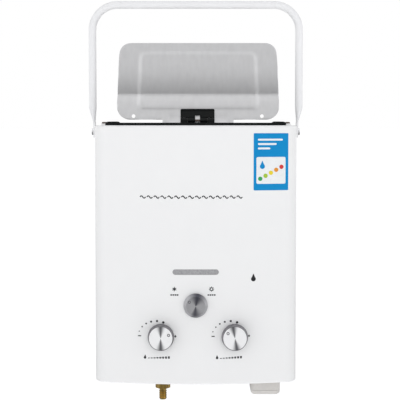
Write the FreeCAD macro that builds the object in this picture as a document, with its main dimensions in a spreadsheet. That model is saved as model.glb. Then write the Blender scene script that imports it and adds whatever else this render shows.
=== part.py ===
import FreeCAD, Part
import Sketcher
import math
import operator
import os
from FreeCAD import Placement, Rotation, Vector

# Portable propane water heater: a white sheet-metal casing with a bail handle and a fold-down rain lid.
# The origin is the middle of the flat back, which hangs against a wall. +X is to the right as seen
# from the front, +Y points into the wall and +Z is up, so the front faces -Y. Lengths are millimetres.

SIZES = [
    # Casing and chassis.
    ("casing_width", 290, "side to side"),
    ("casing_height", 370, "bottom to top"),
    ("casing_depth", 140, "wall to the middle of the bowed front"),
    ("front_bow", 20, "how far the front bows out over its width"),
    ("casing_corner", 20, "radius of the upright front corners"),
    ("casing_edge", 3, "radius of the top and bottom edges"),
    ("casing_sheet", 1, "casing sheet thickness"),
    ("chassis_sheet", 1, "back and bottom plate thickness"),
    ("cut_reach", 3, "depth of a cut through a sheet"),
    ("least_straight", 0.05, "straight left between two rounded corners"),
    ("fit_gap", 0.3, "gap round a piece that drops into an opening"),
    ("flange_depth", 12, "back plate flange, front to back"),
    ("bottom_opening_width", 256, "opening in the casing bottom"),
    ("bottom_opening_depth", 86, "opening in the casing bottom, front to back"),
    ("bottom_opening_middle", 64, "middle of the bottom opening from the wall"),
    ("bottom_overlap", 7, "bottom plate beyond its opening, each side"),
    ("air_slot_length", 34, "air slots in the back plate"),
    ("air_slot_width", 4, "air slots in the back plate"),
    ("air_slot_pitch", 11, "air slots, row to row"),
    ("air_slot_rows", 5, "rows of air slots"),
    ("wall_hole_radius", 2.75, "wall screw holes"),
    ("wall_hole_spacing", 180, "wall screw holes, side to side"),
    ("wall_hole_height", 26, "wall screw holes above the bottom"),
    ("keyhole_height", 343, "hanging keyhole above the bottom"),
    ("keyhole_radius", 5, "keyhole, round end"),
    ("keyhole_slot", 9, "keyhole, centre of the round end to the top of the slot's centre line"),
    # Exhaust at the top.
    ("surround_width", 260, "black exhaust surround, side to side"),
    ("surround_depth", 78, "black exhaust surround, front to back"),
    ("surround_height", 3.7, "surround above the casing"),
    ("surround_middle", 73, "middle of the surround from the wall"),
    ("surround_rim", 13, "width of the surround's rim"),
    ("slat_count", 15, "slats across the exhaust opening"),
    ("slat_width", 3, "slat width"),
    ("slat_height", 2.2, "slat height"),
    ("bumper_length", 17.5, "corner bumper, side to side"),
    ("bumper_width", 12, "corner bumper, front to back"),
    ("bumper_height", 1.8, "corner bumper above the surround"),
    # Rain lid and its hinge.
    ("lid_offset", 2.4, "lid middle to the right of the casing's middle"),
    ("lid_sheet", 1, "lid sheet thickness"),
    ("lid_top_width", 238.4, "lid at its free edge"),
    ("lid_fold_width", 246.4, "lid at its fold"),
    ("lid_foot_width", 248.8, "lid at its lower edge"),
    ("lid_height", 125.3, "free edge above the casing"),
    ("fold_height", 44.8, "fold above the casing"),
    ("lid_foot_height", 8.3, "lower edge above the casing"),
    ("lid_wall_gap", 5, "back of the open lid to the wall plane"),
    ("strip_lean", 12, "degrees that the strip below the fold leans forward at its foot"),
    ("lid_top_corner", 17.5, "corner radius at the free edge"),
    ("lid_foot_corner", 20, "corner radius at the lower edge"),
    ("tab_width", 108, "tab below the lower edge"),
    ("tab_height", 1.6, "lower end of the tab above the casing"),
    ("lid_hole_radius", 2.8, "two round holes near the lower corners"),
    ("lid_hole_spacing", 196, "the two holes, side to side"),
    ("lid_hole_height", 13.5, "the two holes above the casing"),
    ("panel_depth", 2.2, "how far the pressed panel stands out"),
    ("panel_top_width", 181, "pressed panel, top"),
    ("panel_foot_width", 190, "pressed panel, bottom"),
    ("panel_top_height", 115, "top of the pressed panel above the casing"),
    ("panel_foot_height", 20.8, "bottom of the pressed panel above the casing"),
    ("panel_slope", 7, "width of the sloping border of the pressed panel"),
    ("panel_corner", 11, "corner radius of the pressed panel"),
    ("hinge_width", 51.2, "black hinge block, side to side"),
    ("hinge_height", 24.4, "top of the hinge block above the casing"),
    ("hinge_leaf_thickness", 3.4, "leaf on the lid"),
    ("hinge_axis_height", 7, "hinge pin above the casing"),
    ("hinge_axis_depth", 18.6, "hinge pin from the wall"),
    ("hinge_gap_width", 7.5, "open gap in the middle of the hinge"),
    ("knuckle_radius", 3.8, "hinge knuckles"),
    ("knuckle_length", 10.8, "outer hinge knuckles"),
    ("hinge_pin_radius", 1.6, "hinge pin"),
    ("running_gap", 0.08, "radial clearance of turning fits"),
    ("end_gap", 0.3, "end clearance of turning pieces"),
    ("hinge_foot_depth", 12, "foot of the hinge base, front to back"),
    ("hinge_foot_height", 2.4, "foot of the hinge base"),
    ("rivet_radius", 3, "rivet heads"),
    ("rivet_height", 1.1, "rivet heads"),
    # Bail handle.
    ("bail_tube_radius", 5.6, "bail tube"),
    ("bail_spacing", 302, "bail legs, centre to centre"),
    ("bail_rise", 175.2, "bar's centre line above the casing"),
    ("bail_bend", 37, "centre line radius of the bends"),
    ("bail_pivot_drop", 9.4, "pivot below the casing top"),
    ("bail_pivot_depth", 68, "pivot from the wall"),
    ("bail_taper_top", 26, "tube starts to flatten, above the casing"),
    ("bail_taper_foot", 2, "tube is flat from here down, above the casing"),
    ("ear_width", 17, "flattened ear, front to back"),
    ("ear_thickness", 2.6, "flattened ear"),
    ("washer_thickness", 2, "washer between casing and ear"),
    ("washer_radius", 7, "washer between casing and ear"),
    ("ear_play", 0.15, "gap on each face of the ear"),
    ("pivot_radius", 2.5, "bail pivot screw"),
    ("pivot_head_radius", 5, "bail pivot screw head"),
    ("pivot_head_height", 2.6, "bail pivot screw head"),
    ("nut_thickness", 4, "nuts on the bail screws"),
    ("nut_flats", 9, "nuts on the bail screws, across flats"),
    # Front panel: flame window, knobs.
    ("window_width", 65.8, "flame window, side to side"),
    ("window_height", 7.9, "flame window"),
    ("window_middle", 162, "middle of the flame window above the bottom"),
    ("lens_margin", 4, "lens beyond the window, all round"),
    ("lens_thickness", 1.2, "lens"),
    ("gas_knob_offset", 49.5, "gas knob to the left of the middle"),
    ("water_knob_offset", 55.7, "water knob to the right of the middle"),
    ("knob_row", 69.3, "gas and water knobs above the bottom"),
    ("season_row", 114.4, "season knob above the bottom"),
    ("knob_radius", 18.8, "gas and water knobs, foot"),
    ("knob_top_radius", 17.5, "gas and water knobs, front"),
    ("knob_length", 14, "gas and water knobs, front to back"),
    ("knob_lift", 0.5, "knob foot in front of the casing's foremost line"),
    ("season_radius", 17.2, "season knob, foot"),
    ("season_top_radius", 13.6, "season knob, front"),
    ("season_length", 9, "season knob, front to back"),
    ("face_rim", 0.8, "knob rim round its metal face"),
    ("face_thickness", 0.8, "metal face of a knob"),
    ("mark_radius", 1.3, "round mark on a knob's face"),
    ("mark_distance", 12.2, "round mark from the knob's axis"),
    ("season_mark_distance", 10.2, "round mark from the season knob's axis"),
    ("gas_mark_angle", 23, "degrees, gas mark above the right"),
    ("water_mark_angle", 145, "degrees, water mark above the right"),
    ("season_mark_angle", 148, "degrees, season mark above the right"),
    ("spindle_radius", 3, "knob spindles"),
    ("spindle_hole_radius", 4.5, "spindle holes in the casing"),
    ("spindle_socket", 10, "spindle inside its valve"),
    ("knob_bore_depth", 10, "spindle inside its knob"),
    # Burner, heat exchanger and flue, one above the other.
    ("flue_width", 172, "chamber and burner, side to side"),
    ("flue_depth", 68, "chamber and burner, front to back"),
    ("flue_middle", 66, "chamber and burner, middle from the wall"),
    ("tray_foot", 122, "burner tray above the bottom"),
    ("chamber_foot", 150, "chamber above the bottom"),
    ("core_foot", 262, "heat exchanger core above the bottom"),
    ("hood_foot", 300, "hood above the bottom"),
    ("chamber_sheet", 1.2, "chamber, tray and hood sheet"),
    ("hood_top_width", 210, "hood outlet, side to side"),
    ("hood_top_depth", 48, "hood outlet, front to back"),
    ("sight_width", 72, "sight hole in the chamber"),
    ("sight_height", 16, "sight hole in the chamber"),
    ("blade_count", 9, "burner blades"),
    ("blade_width", 9, "burner blade"),
    ("blade_pitch", 17, "burner blades, middle to middle"),
    ("blade_neck", 5, "burner blade, neck"),
    ("blade_drop", 8, "blades below the tray"),
    ("blade_rise", 4, "blades above the chamber's foot"),
    ("fin_count", 18, "grooves between the fins"),
    ("fin_groove", 5, "width of a groove between fins"),
    ("fin_depth", 14, "depth of the grooves"),
    ("pipe_radius", 7, "water pipes"),
    ("pipe_bend", 13, "centre line radius of the water pipes' bends"),
    ("pipe_reach", 18, "upright pipes out from the core's side"),
    ("tube_radius", 6.5, "return bends on the core's sides"),
    ("tube_pitch", 18, "core tubes, front to back"),
    ("bracket_width", 22, "chamber brackets"),
    ("bracket_height", 34, "chamber brackets"),
    ("bracket_spacing", 120, "chamber brackets, side to side"),
    ("bracket_foot", 205, "chamber brackets above the bottom"),
    ("bracket_sheet", 2, "chamber brackets, sheet"),
    ("sensor_spacing", 46, "electrode and flame sensor, side to side"),
    ("sensor_height", 178, "electrode and flame sensor above the bottom"),
    ("ceramic_radius", 3.5, "ceramic bodies"),
    ("ceramic_front", 10, "ceramic bodies in front of the chamber"),
    ("ceramic_back", 8, "ceramic bodies inside the chamber"),
    ("sensor_rod_radius", 1, "metal rods in the ceramic bodies"),
    ("sensor_rod_reach", 14, "metal rods beyond the ceramic, inside"),
    ("sensor_rod_stub", 5, "metal rods beyond the ceramic, outside"),
    # Valves, manifold and links.
    ("valve_front", 118, "front faces of the valves from the wall"),
    ("gas_valve_width", 42, "gas valve block"),
    ("gas_valve_height", 38, "gas valve block"),
    ("gas_valve_depth", 44, "gas valve block, front to back"),
    ("gas_boss_radius", 10, "gas valve's lower boss"),
    ("solenoid_radius", 12, "gas solenoid"),
    ("solenoid_length", 26, "gas solenoid"),
    ("water_valve_radius", 19, "water valve barrel"),
    ("water_valve_depth", 82, "water valve barrel, front to back"),
    ("water_boss_radius", 11, "water valve's lower boss"),
    ("side_boss_radius", 9, "water valve's outlet boss"),
    ("side_boss_reach", 22, "outlet boss from the valve's middle"),
    ("diaphragm_radius", 28, "diaphragm housing"),
    ("diaphragm_half", 7, "thickness of each half of the diaphragm housing"),
    ("diaphragm_depth", 90, "diaphragm's axis from the wall"),
    ("diaphragm_screw_radius", 2.5, "heads of the diaphragm screws"),
    ("diaphragm_screw_height", 2, "heads of the diaphragm screws"),
    ("link_radius", 2, "link rod between the valves"),
    ("link_socket", 12, "link rod inside each valve"),
    ("link_travel", 3.5, "travel of the link rod"),
    ("switch_length", 20, "micro switch, front to back"),
    ("switch_width", 8, "micro switch, side to side"),
    ("switch_height", 11, "micro switch"),
    ("manifold_height", 12, "gas manifold bar"),
    ("manifold_depth", 10, "gas manifold bar, front to back"),
    ("manifold_gap", 9, "manifold in front of the tray"),
    ("manifold_middle", 118, "gas manifold above the bottom"),
    ("nozzle_radius", 3, "gas nozzles"),
    ("nozzle_length", 7, "gas nozzles"),
    ("season_block", 30, "season valve, side to side"),
    ("season_block_height", 22, "season valve"),
    ("season_block_front", 133, "season valve's front from the wall"),
    ("gas_pipe_radius", 5, "pipe from the gas valve to the manifold"),
    # Connections below the casing.
    ("gas_inlet_offset", 48.6, "gas inlet to the left of the middle"),
    ("gas_inlet_depth", 80, "gas inlet from the wall"),
    ("gas_collar_radius", 9, "collar between the hexagon and the bottom plate"),
    ("gas_stem_radius", 7, "gas inlet stem"),
    ("gas_stem_top", 22, "top of the gas inlet stem above the bottom"),
    ("gas_hex_flats", 19, "gas inlet hexagon, across flats"),
    ("gas_hex_foot", 16.6, "lower face of the hexagon below the bottom"),
    ("gas_hex_height", 13, "gas inlet hexagon"),
    ("barb_length", 17, "hose barb"),
    ("barb_radius", 5.7, "hose barb, over its ridges"),
    ("barb_core_radius", 4.7, "hose barb, between its ridges"),
    ("barb_bore_radius", 2.8, "hose barb, bore"),
    ("barb_ridges", 4, "ridges on the hose barb"),
    ("locknut_height", 5, "nut on the gas stem above the bottom plate"),
    ("nipple_radius", 10.4, "water connections, over the thread"),
    ("nipple_length", 14, "thread of the water connections"),
    ("nipple_stem_radius", 8, "stem of the water connections"),
    ("nipple_bore_radius", 6.5, "water connections, bore"),
    ("nipple_flange_radius", 14, "flange of the water connections"),
    ("nipple_flange_height", 2, "flange of the water connections"),
    ("nipple_stem_top", 14, "top of the water connections above the bottom"),
    ("drain_offset", 18, "drain plug to the right of the middle"),
    ("drain_radius", 8, "drain plug"),
    ("drain_drop", 10, "drain plug below the bottom"),
    ("drain_stem_radius", 5, "drain plug's stem"),
    # Battery box.
    ("battery_offset", 101.5, "battery box to the right of the middle"),
    ("battery_width", 42.8, "battery box"),
    ("battery_depth", 80, "battery box, front to back"),
    ("battery_front", 105, "front of the battery box from the wall"),
    ("battery_drop", 22.2, "battery door's lower face below the bottom"),
    ("battery_flange", 3, "flange of the battery box on the bottom plate"),
    ("battery_wall", 2, "battery box walls"),
    ("battery_corner", 7, "upright corners of the battery box"),
    ("door_thickness", 2.5, "battery door"),
    ("door_rim", 4, "wall of the battery door above its floor"),
    ("door_edge", 5.5, "rounded lower edge of the battery door"),
    ("door_barrel_radius", 2.6, "hinge barrel of the battery door"),
    ("door_pin_radius", 1.1, "hinge pin of the battery door"),
    ("door_barrel_length", 20, "hinge barrel of the battery door"),
    ("door_lug_length", 6, "lugs beside the hinge barrel"),
    ("cell_radius", 16.8, "battery cells"),
    ("cell_length", 61, "battery cells"),
    ("cell_pitch", 36, "battery cells, middle to middle"),
    ("cell_button_radius", 4.5, "button on a cell"),
    ("cell_button_height", 1.5, "button on a cell"),
    ("cell_lift", 1, "cells above the battery door"),
    ("contact_thickness", 1.5, "contact plate above the cells"),
    # Control box and screws.
    ("control_width", 28, "control box"),
    ("control_depth", 34, "control box, front to back"),
    ("control_height", 74, "control box"),
    ("control_foot", 158, "control box above the bottom"),
    ("control_edge", 2, "rounding of the control box"),
    ("control_inset", 3, "control box from the casing's right side"),
    ("screw_radius", 2, "casing screws"),
    ("screw_head_radius", 3.8, "casing screws"),
    ("screw_head_height", 2.4, "casing screws"),
    ("screw_boss_radius", 5, "raised bosses under the upper casing screws"),
    ("screw_boss_height", 2.4, "raised bosses under the upper casing screws"),
    ("screw_inset", 6.2, "casing screws from the side"),
    ("screw_depth", 7, "casing screws from the wall"),
    ("screw_length", 5, "casing screws, under the head"),
]

document = FreeCAD.newDocument("propane_water_heater")
sheet = document.addObject("Spreadsheet::Sheet", "Sizes")
for row, (alias, number, meaning) in enumerate(SIZES, start=1):
    sheet.set(f"A{row}", alias)
    sheet.set(f"B{row}", str(number))
    sheet.set(f"C{row}", meaning)
    sheet.setAlias(f"B{row}", alias)
document.recompute()


class Size:
    """A length or a count that carries its number and the sheet expression that gives it."""

    def __init__(self, text, number):
        self.text = text
        self.number = number

    def __float__(self):
        return float(self.number)

    def __add__(self, other):
        return combine(self, "+", other, operator.add)

    def __radd__(self, other):
        return combine(other, "+", self, operator.add)

    def __sub__(self, other):
        return combine(self, "-", other, operator.sub)

    def __rsub__(self, other):
        return combine(other, "-", self, operator.sub)

    def __mul__(self, other):
        return combine(self, "*", other, operator.mul)

    def __rmul__(self, other):
        return combine(other, "*", self, operator.mul)

    def __truediv__(self, other):
        return combine(self, "/", other, operator.truediv)

    def __neg__(self):
        return combine(0, "-", self, operator.sub)


def as_size(value):
    return value if isinstance(value, Size) else Size(repr(value), value)


def combine(left, sign, right, operation):
    left = as_size(left)
    right = as_size(right)
    return Size(f"({left.text} {sign} {right.text})", operation(left.number, right.number))


def tangent(angle):
    return Size(f"tan({angle.text})", math.tan(math.radians(angle.number)))


def sine(angle):
    return Size(f"sin({angle.text})", math.sin(math.radians(angle.number)))


def cosine(angle):
    return Size(f"cos({angle.text})", math.cos(math.radians(angle.number)))


class SheetSizes:
    """Gives each sheet cell as a Size, under its alias."""

    def __getattr__(self, alias):
        return Size(f"Sizes.{alias}", sheet.get(alias))


S = SheetSizes()
BOTTOM = -S.casing_height / 2
TOP = S.casing_height / 2
FRONT = -S.casing_depth
BOW_RADIUS = (S.casing_width * S.casing_width / 4 + S.front_bow * S.front_bow) / (2 * S.front_bow)
pieces = []


def bind(target, path, size):
    """Ties one property of an object to the sheet."""
    target.setExpression(path, as_size(size).text)


def new_body(label):
    body = document.addObject("PartDesign::Body", label)
    body.Label = label
    pieces.append(body)
    return body


def place(body, x, y, z, towards="up"):
    """Moves a body and turns its own Z axis to point up, down, left, right or to the front."""
    turns = {
        "up": Rotation(),
        "front": Rotation(Vector(1, 0, 0), 90),
        "back": Rotation(Vector(1, 0, 0), -90),
        "down": Rotation(Vector(1, 0, 0), 180),
        "right": Rotation(Vector(0, 1, 0), 90),
        "left": Rotation(Vector(0, 1, 0), -90),
    }
    body.Placement = Placement(Vector(float(x), float(y), float(z)), turns[towards])
    for letter, size in zip("xyz", (x, y, z)):
        bind(body, f"Placement.Base.{letter}", size)


def new_sketch(body, role, offset):
    sketch = body.newObject("Sketcher::SketchObject", "Sketch")
    plane = next(item for item in body.Origin.OriginFeatures if item.Role == role)
    sketch.AttachmentSupport = [(plane, "")]
    sketch.MapMode = "FlatFace"
    bind(sketch, "AttachmentOffset.Base.z", offset)
    return sketch


def sketch_at_z(body, z=0):
    """A sketch seen from above: its axes are X and Y, and a pad of it grows up."""
    return new_sketch(body, "XY_Plane", z)


def sketch_at_y(body, y=0):
    """A sketch seen from the front: its axes are X and Z, and a pad of it grows to the front."""
    return new_sketch(body, "XZ_Plane", -as_size(y))


def sketch_at_x(body, x=0):
    """A sketch seen from the right: its axes are Y and Z, and a pad of it grows to the right."""
    return new_sketch(body, "YZ_Plane", x)


def constrain(sketch, kind, *items):
    """Adds a constraint whose last item is a Size, and ties it to the sheet."""
    size = as_size(items[-1])
    index = sketch.addConstraint(Sketcher.Constraint(kind, *items[:-1], float(size)))
    bind(sketch, f"Constraints[{index}]", size)


def pin_point(sketch, geometry, point, x, y):
    constrain(sketch, "DistanceX", geometry, point, x)
    constrain(sketch, "DistanceY", geometry, point, y)


def circle(sketch, x, y, radius):
    centre = Vector(float(x), float(y), 0)
    index = sketch.addGeometry(Part.Circle(centre, Vector(0, 0, 1), float(radius)))
    pin_point(sketch, index, 3, x, y)
    constrain(sketch, "Radius", index, radius)


def outline(sketch, corners, closed=True):
    """An outline through corners (x, y) or (x, y, radius), in order. An open one has plain ends."""
    places = [Vector(float(corner[0]), float(corner[1]), 0) for corner in corners]
    starts = []
    ends = []
    for index, corner in enumerate(corners):
        here = places[index]
        if len(corner) == 2:
            starts.append(here)
            ends.append(here)
            continue
        to_last = (places[index - 1] - here).normalize()
        to_next = (places[(index + 1) % len(corners)] - here).normalize()
        setback = float(corner[2]) / math.tan(to_last.getAngle(to_next) / 2)
        starts.append(here + to_last * setback)
        ends.append(here + to_next * setback)
    lines = []
    for index in range(len(corners) if closed else len(corners) - 1):
        following = (index + 1) % len(corners)
        lines.append(sketch.addGeometry(Part.LineSegment(ends[index], starts[following])))
    for index, corner in enumerate(corners):
        if not closed and index == 0:
            pin_point(sketch, lines[0], 1, corner[0], corner[1])
        elif not closed and index == len(corners) - 1:
            pin_point(sketch, lines[-1], 2, corner[0], corner[1])
        elif len(corner) == 2:
            sketch.addConstraint(Sketcher.Constraint("Coincident", lines[index - 1], 2, lines[index], 1))
            pin_point(sketch, lines[index], 1, corner[0], corner[1])
        else:
            round_corner(sketch, lines[index - 1], lines[index], places[index], starts[index], ends[index], corner)


def round_corner(sketch, line_in, line_out, here, start, end, corner):
    """Joins two lines of an outline with a tangent arc and holds the sharp corner's place."""
    bisector = ((start - here).normalize() + (end - here).normalize()).normalize()
    half_angle = (start - here).getAngle(end - here) / 2
    radius = float(corner[2])
    middle = here + bisector * (radius / math.sin(half_angle) - radius)
    arc = sketch.addGeometry(Part.Arc(start, middle, end))
    first, last = (1, 2) if (sketch.getPoint(arc, 1) - start).Length < 1e-6 else (2, 1)
    sketch.addConstraint(Sketcher.Constraint("Tangent", line_in, 2, arc, first))
    sketch.addConstraint(Sketcher.Constraint("Tangent", arc, last, line_out, 1))
    constrain(sketch, "Radius", arc, corner[2])
    point = sketch.addGeometry(Part.Point(here), True)
    sketch.addConstraint(Sketcher.Constraint("PointOnObject", point, 1, line_in))
    sketch.addConstraint(Sketcher.Constraint("PointOnObject", point, 1, line_out))
    pin_point(sketch, point, 1, corner[0], corner[1])


def rectangle(sketch, x, y, width, height, radius=None):
    """A rectangle about its middle, with rounded corners if a radius is given."""
    rounding = () if radius is None else (radius,)
    outline(sketch, [
        (x - width / 2, y - height / 2) + rounding,
        (x + width / 2, y - height / 2) + rounding,
        (x + width / 2, y + height / 2) + rounding,
        (x - width / 2, y + height / 2) + rounding,
    ])


def hexagon(sketch, x, y, flats):
    across = flats / math.sqrt(3)
    corners = [(across, 0), (across / 2, flats / 2), (-across / 2, flats / 2)]
    corners += [(-first, -as_size(second)) for first, second in corners]
    outline(sketch, [(x + first, y + second) for first, second in corners])


def pad(body, sketch, length, backwards=False, both_ways=False):
    feature = body.newObject("PartDesign::Pad", "Pad")
    feature.Profile = sketch
    feature.SideType = "Symmetric" if both_ways else "One side"
    feature.Reversed = backwards
    bind(feature, "Length", length)
    document.recompute()
    return feature


def pocket(body, sketch, depth=None, backwards=False, both_ways=False):
    """Cuts a sketch out of the body, right through where no depth is given, and tests that it cut."""
    document.recompute()
    before = body.Shape.Volume
    feature = body.newObject("PartDesign::Pocket", "Pocket")
    feature.Profile = sketch
    feature.SideType = "Symmetric" if both_ways else "One side"
    feature.Reversed = backwards
    if depth is None:
        feature.Type = "ThroughAll"
    else:
        bind(feature, "Length", depth)
    document.recompute()
    if body.Shape.Volume > before - 1e-3:
        raise RuntimeError(f"a pocket of {body.Label} cuts nothing")
    return feature


def turn(body, profile):
    """Turns corners (radius, height) about the body's own Z axis."""
    sketch = sketch_at_y(body)
    outline(sketch, profile)
    feature = body.newObject("PartDesign::Revolution", "Revolution")
    feature.Profile = sketch
    feature.ReferenceAxis = (sketch, ["V_Axis"])
    feature.Angle = 360
    document.recompute()
    return feature


def repeat(body, features, axis, length, count):
    """Repeats features in a straight row along a sketch axis of the first one."""
    feature = body.newObject("PartDesign::LinearPattern", "LinearPattern")
    feature.Originals = features
    feature.Direction = (features[0].Profile[0], [axis])
    bind(feature, "Length", length)
    bind(feature, "Occurrences", count)
    body.Tip = feature
    document.recompute()
    return feature


def round_edges(body, radius, wanted):
    """Rounds the edges of the body that the test picks."""
    base = body.Tip
    names = [f"Edge{index}" for index, edge in enumerate(base.Shape.Edges, start=1) if wanted(edge)]
    feature = body.newObject("PartDesign::Fillet", "Fillet")
    feature.Base = (base, names)
    bind(feature, "Radius", radius)
    document.recompute()
    return feature


def is_upright(edge):
    box = edge.BoundBox
    return box.ZLength > 1e-3 and box.XLength < 1e-3 and box.YLength < 1e-3


def sweep(body, spine, profile):
    """Carries a closed profile along an open spine."""
    feature = body.newObject("PartDesign::AdditivePipe", "AdditivePipe")
    feature.Profile = profile
    feature.Spine = (spine, [""])
    document.recompute()
    return feature


def loft(body, first, last, cuts=False):
    """Joins two closed sketches with a ruled skin, or cuts what lies between them."""
    kind = "SubtractiveLoft" if cuts else "AdditiveLoft"
    feature = body.newObject(f"PartDesign::{kind}", kind)
    feature.Profile = first
    feature.Sections = [last]
    document.recompute()
    return feature


# Front casing: one drawn steel cover, painted white, open at the back. Its front bows out, its edges
# are rounded, and it has openings for the exhaust, the fittings, the flame window and the spindles.
def make_front_casing():
    body = new_body("front_casing")
    sketch = sketch_at_z(body, BOTTOM)
    half = S.casing_width / 2
    centre = FRONT + BOW_RADIUS
    side_end = float(centre) - math.sqrt(float(BOW_RADIUS) ** 2 - float(half) ** 2)
    places = [
        Vector(-float(half), -float(S.chassis_sheet), 0),
        Vector(float(half), -float(S.chassis_sheet), 0),
        Vector(float(half), side_end, 0),
        Vector(-float(half), side_end, 0),
    ]
    rear = sketch.addGeometry(Part.LineSegment(places[0], places[1]))
    right = sketch.addGeometry(Part.LineSegment(places[1], places[2]))
    bow = sketch.addGeometry(Part.Arc(places[2], Vector(0, float(FRONT), 0), places[3]))
    left = sketch.addGeometry(Part.LineSegment(places[3], places[0]))
    near, far = (1, 2) if (sketch.getPoint(bow, 1) - places[2]).Length < 1e-6 else (2, 1)
    sketch.addConstraint(Sketcher.Constraint("Coincident", rear, 2, right, 1))
    sketch.addConstraint(Sketcher.Constraint("Coincident", right, 2, bow, near))
    sketch.addConstraint(Sketcher.Constraint("Coincident", bow, far, left, 1))
    sketch.addConstraint(Sketcher.Constraint("Coincident", left, 2, rear, 1))
    sketch.addConstraint(Sketcher.Constraint("Vertical", right))
    sketch.addConstraint(Sketcher.Constraint("Vertical", left))
    pin_point(sketch, rear, 1, -half, -S.chassis_sheet)
    pin_point(sketch, rear, 2, half, -S.chassis_sheet)
    pin_point(sketch, bow, 3, 0, centre)
    constrain(sketch, "Radius", bow, BOW_RADIUS)
    pad(body, sketch, S.casing_height)
    middle = float(FRONT) / 2
    round_edges(body, S.casing_corner, lambda edge: is_upright(edge) and edge.BoundBox.YMax < middle)
    rim = float(TOP)
    wall = -float(S.chassis_sheet)
    round_edges(body, S.casing_edge, lambda edge: abs(abs(edge.BoundBox.Center.z) - rim) < 1e-3
                and edge.BoundBox.YMin < wall - 1e-3)
    shell = body.Tip
    open_face = [f"Face{index}" for index, face in enumerate(shell.Shape.Faces, start=1)
                 if face.BoundBox.YMin > wall - 1e-3]
    thickness = body.newObject("PartDesign::Thickness", "Thickness")
    thickness.Base = (shell, open_face)
    thickness.Reversed = True
    bind(thickness, "Value", S.casing_sheet)
    document.recompute()
    opening = sketch_at_z(body)
    rectangle(opening, as_size(0), -S.bottom_opening_middle, S.bottom_opening_width, S.bottom_opening_depth)
    pocket(body, opening)
    flue = sketch_at_z(body)
    rectangle(flue, as_size(0), -S.surround_middle, S.surround_width - 2 * S.surround_rim,
              S.surround_depth - 2 * S.surround_rim)
    pocket(body, flue, backwards=True)
    bosses = sketch_at_z(body, TOP - S.casing_sheet)
    screws = sketch_at_z(body)
    for side in (-1, 1):
        circle(bosses, side * (half - S.screw_inset), -S.screw_depth, S.screw_boss_radius)
        circle(screws, side * (half - S.screw_inset), -S.screw_depth, S.screw_radius + S.running_gap)
    pad(body, bosses, S.casing_sheet + S.screw_boss_height)
    pocket(body, screws, both_ways=True)
    window = sketch_at_y(body, -S.valve_front)
    ends = S.window_height / 2 - S.least_straight
    rectangle(window, as_size(0), BOTTOM + S.window_middle, S.window_width, S.window_height, ends)
    circle(window, -S.gas_knob_offset, BOTTOM + S.knob_row, S.spindle_hole_radius)
    circle(window, S.water_knob_offset, BOTTOM + S.knob_row, S.spindle_hole_radius)
    circle(window, as_size(0), BOTTOM + S.season_row, S.spindle_hole_radius)
    pocket(body, window, backwards=True)
    pivots = sketch_at_x(body)
    circle(pivots, -S.bail_pivot_depth, TOP - S.bail_pivot_drop, S.pivot_radius + S.running_gap)
    pocket(body, pivots, both_ways=True)


# Back plate: a flat steel pan that hangs on the wall. Its flange reaches forward inside the casing.
def make_back_plate():
    body = new_body("back_plate")
    outer = sketch_at_y(body)
    rectangle(outer, as_size(0), as_size(0), S.casing_width, S.casing_height, S.casing_edge)
    pad(body, outer, S.chassis_sheet)
    flange = sketch_at_y(body, -S.chassis_sheet)
    inset = 2 * (S.casing_sheet + S.fit_gap / 2)
    wide = S.casing_width - inset
    tall = S.casing_height - inset
    rectangle(flange, as_size(0), as_size(0), wide, tall, S.casing_edge)
    rectangle(flange, as_size(0), as_size(0), wide - 2 * S.chassis_sheet, tall - 2 * S.chassis_sheet,
              S.casing_edge - S.chassis_sheet)
    pad(body, flange, S.flange_depth)
    holes = sketch_at_y(body, 1)
    for side in (-1, 1):
        circle(holes, side * S.wall_hole_spacing / 2, BOTTOM + S.wall_hole_height, S.wall_hole_radius)
    circle(holes, as_size(0), BOTTOM + S.keyhole_height, S.keyhole_radius)
    pocket(body, holes, S.cut_reach, backwards=True)
    slot = sketch_at_y(body, 1)
    rectangle(slot, as_size(0), BOTTOM + S.keyhole_height + S.keyhole_slot / 2, 2 * S.wall_hole_radius,
              S.keyhole_slot + 2 * S.wall_hole_radius, S.wall_hole_radius - S.least_straight)
    pocket(body, slot, S.cut_reach, backwards=True)
    louvre = sketch_at_y(body, 1)
    for side in (-1, 1):
        rectangle(louvre, side * S.wall_hole_spacing / 4, BOTTOM + 2 * S.wall_hole_height, S.air_slot_length,
                  S.air_slot_width, S.air_slot_width / 2 - S.least_straight)
    row = pocket(body, louvre, S.cut_reach, backwards=True)
    repeat(body, [row], "V_Axis", S.air_slot_pitch * (S.air_slot_rows - 1), S.air_slot_rows)
    screws = sketch_at_z(body)
    for side in (-1, 1):
        circle(screws, side * (S.casing_width / 2 - S.screw_inset), -S.screw_depth,
               S.screw_radius + S.running_gap)
    pocket(body, screws, both_ways=True)


# Bottom plate: a flat steel sheet on the casing's bottom rim. It carries the fittings and the
# battery box.
def make_bottom_plate():
    body = new_body("bottom_plate")
    outer = sketch_at_z(body, BOTTOM + S.casing_sheet)
    rectangle(outer, as_size(0), -S.bottom_opening_middle, S.bottom_opening_width + 2 * S.bottom_overlap,
              S.bottom_opening_depth + 2 * S.bottom_overlap, S.casing_edge)
    pad(body, outer, S.chassis_sheet)
    holes = sketch_at_z(body)
    gap = S.fit_gap
    circle(holes, -S.gas_inlet_offset, -S.gas_inlet_depth, S.gas_stem_radius + gap)
    circle(holes, S.water_knob_offset, WATER_LINE, S.nipple_stem_radius + gap)
    circle(holes, -HOT_PIPE, WATER_LINE, S.nipple_stem_radius + gap)
    circle(holes, S.drain_offset, WATER_LINE, S.drain_stem_radius + gap)
    rectangle(holes, S.battery_offset, BATTERY_MIDDLE, S.battery_width + 2 * gap, S.battery_depth + 2 * gap,
              S.battery_corner + gap)
    pocket(body, holes)


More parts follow.
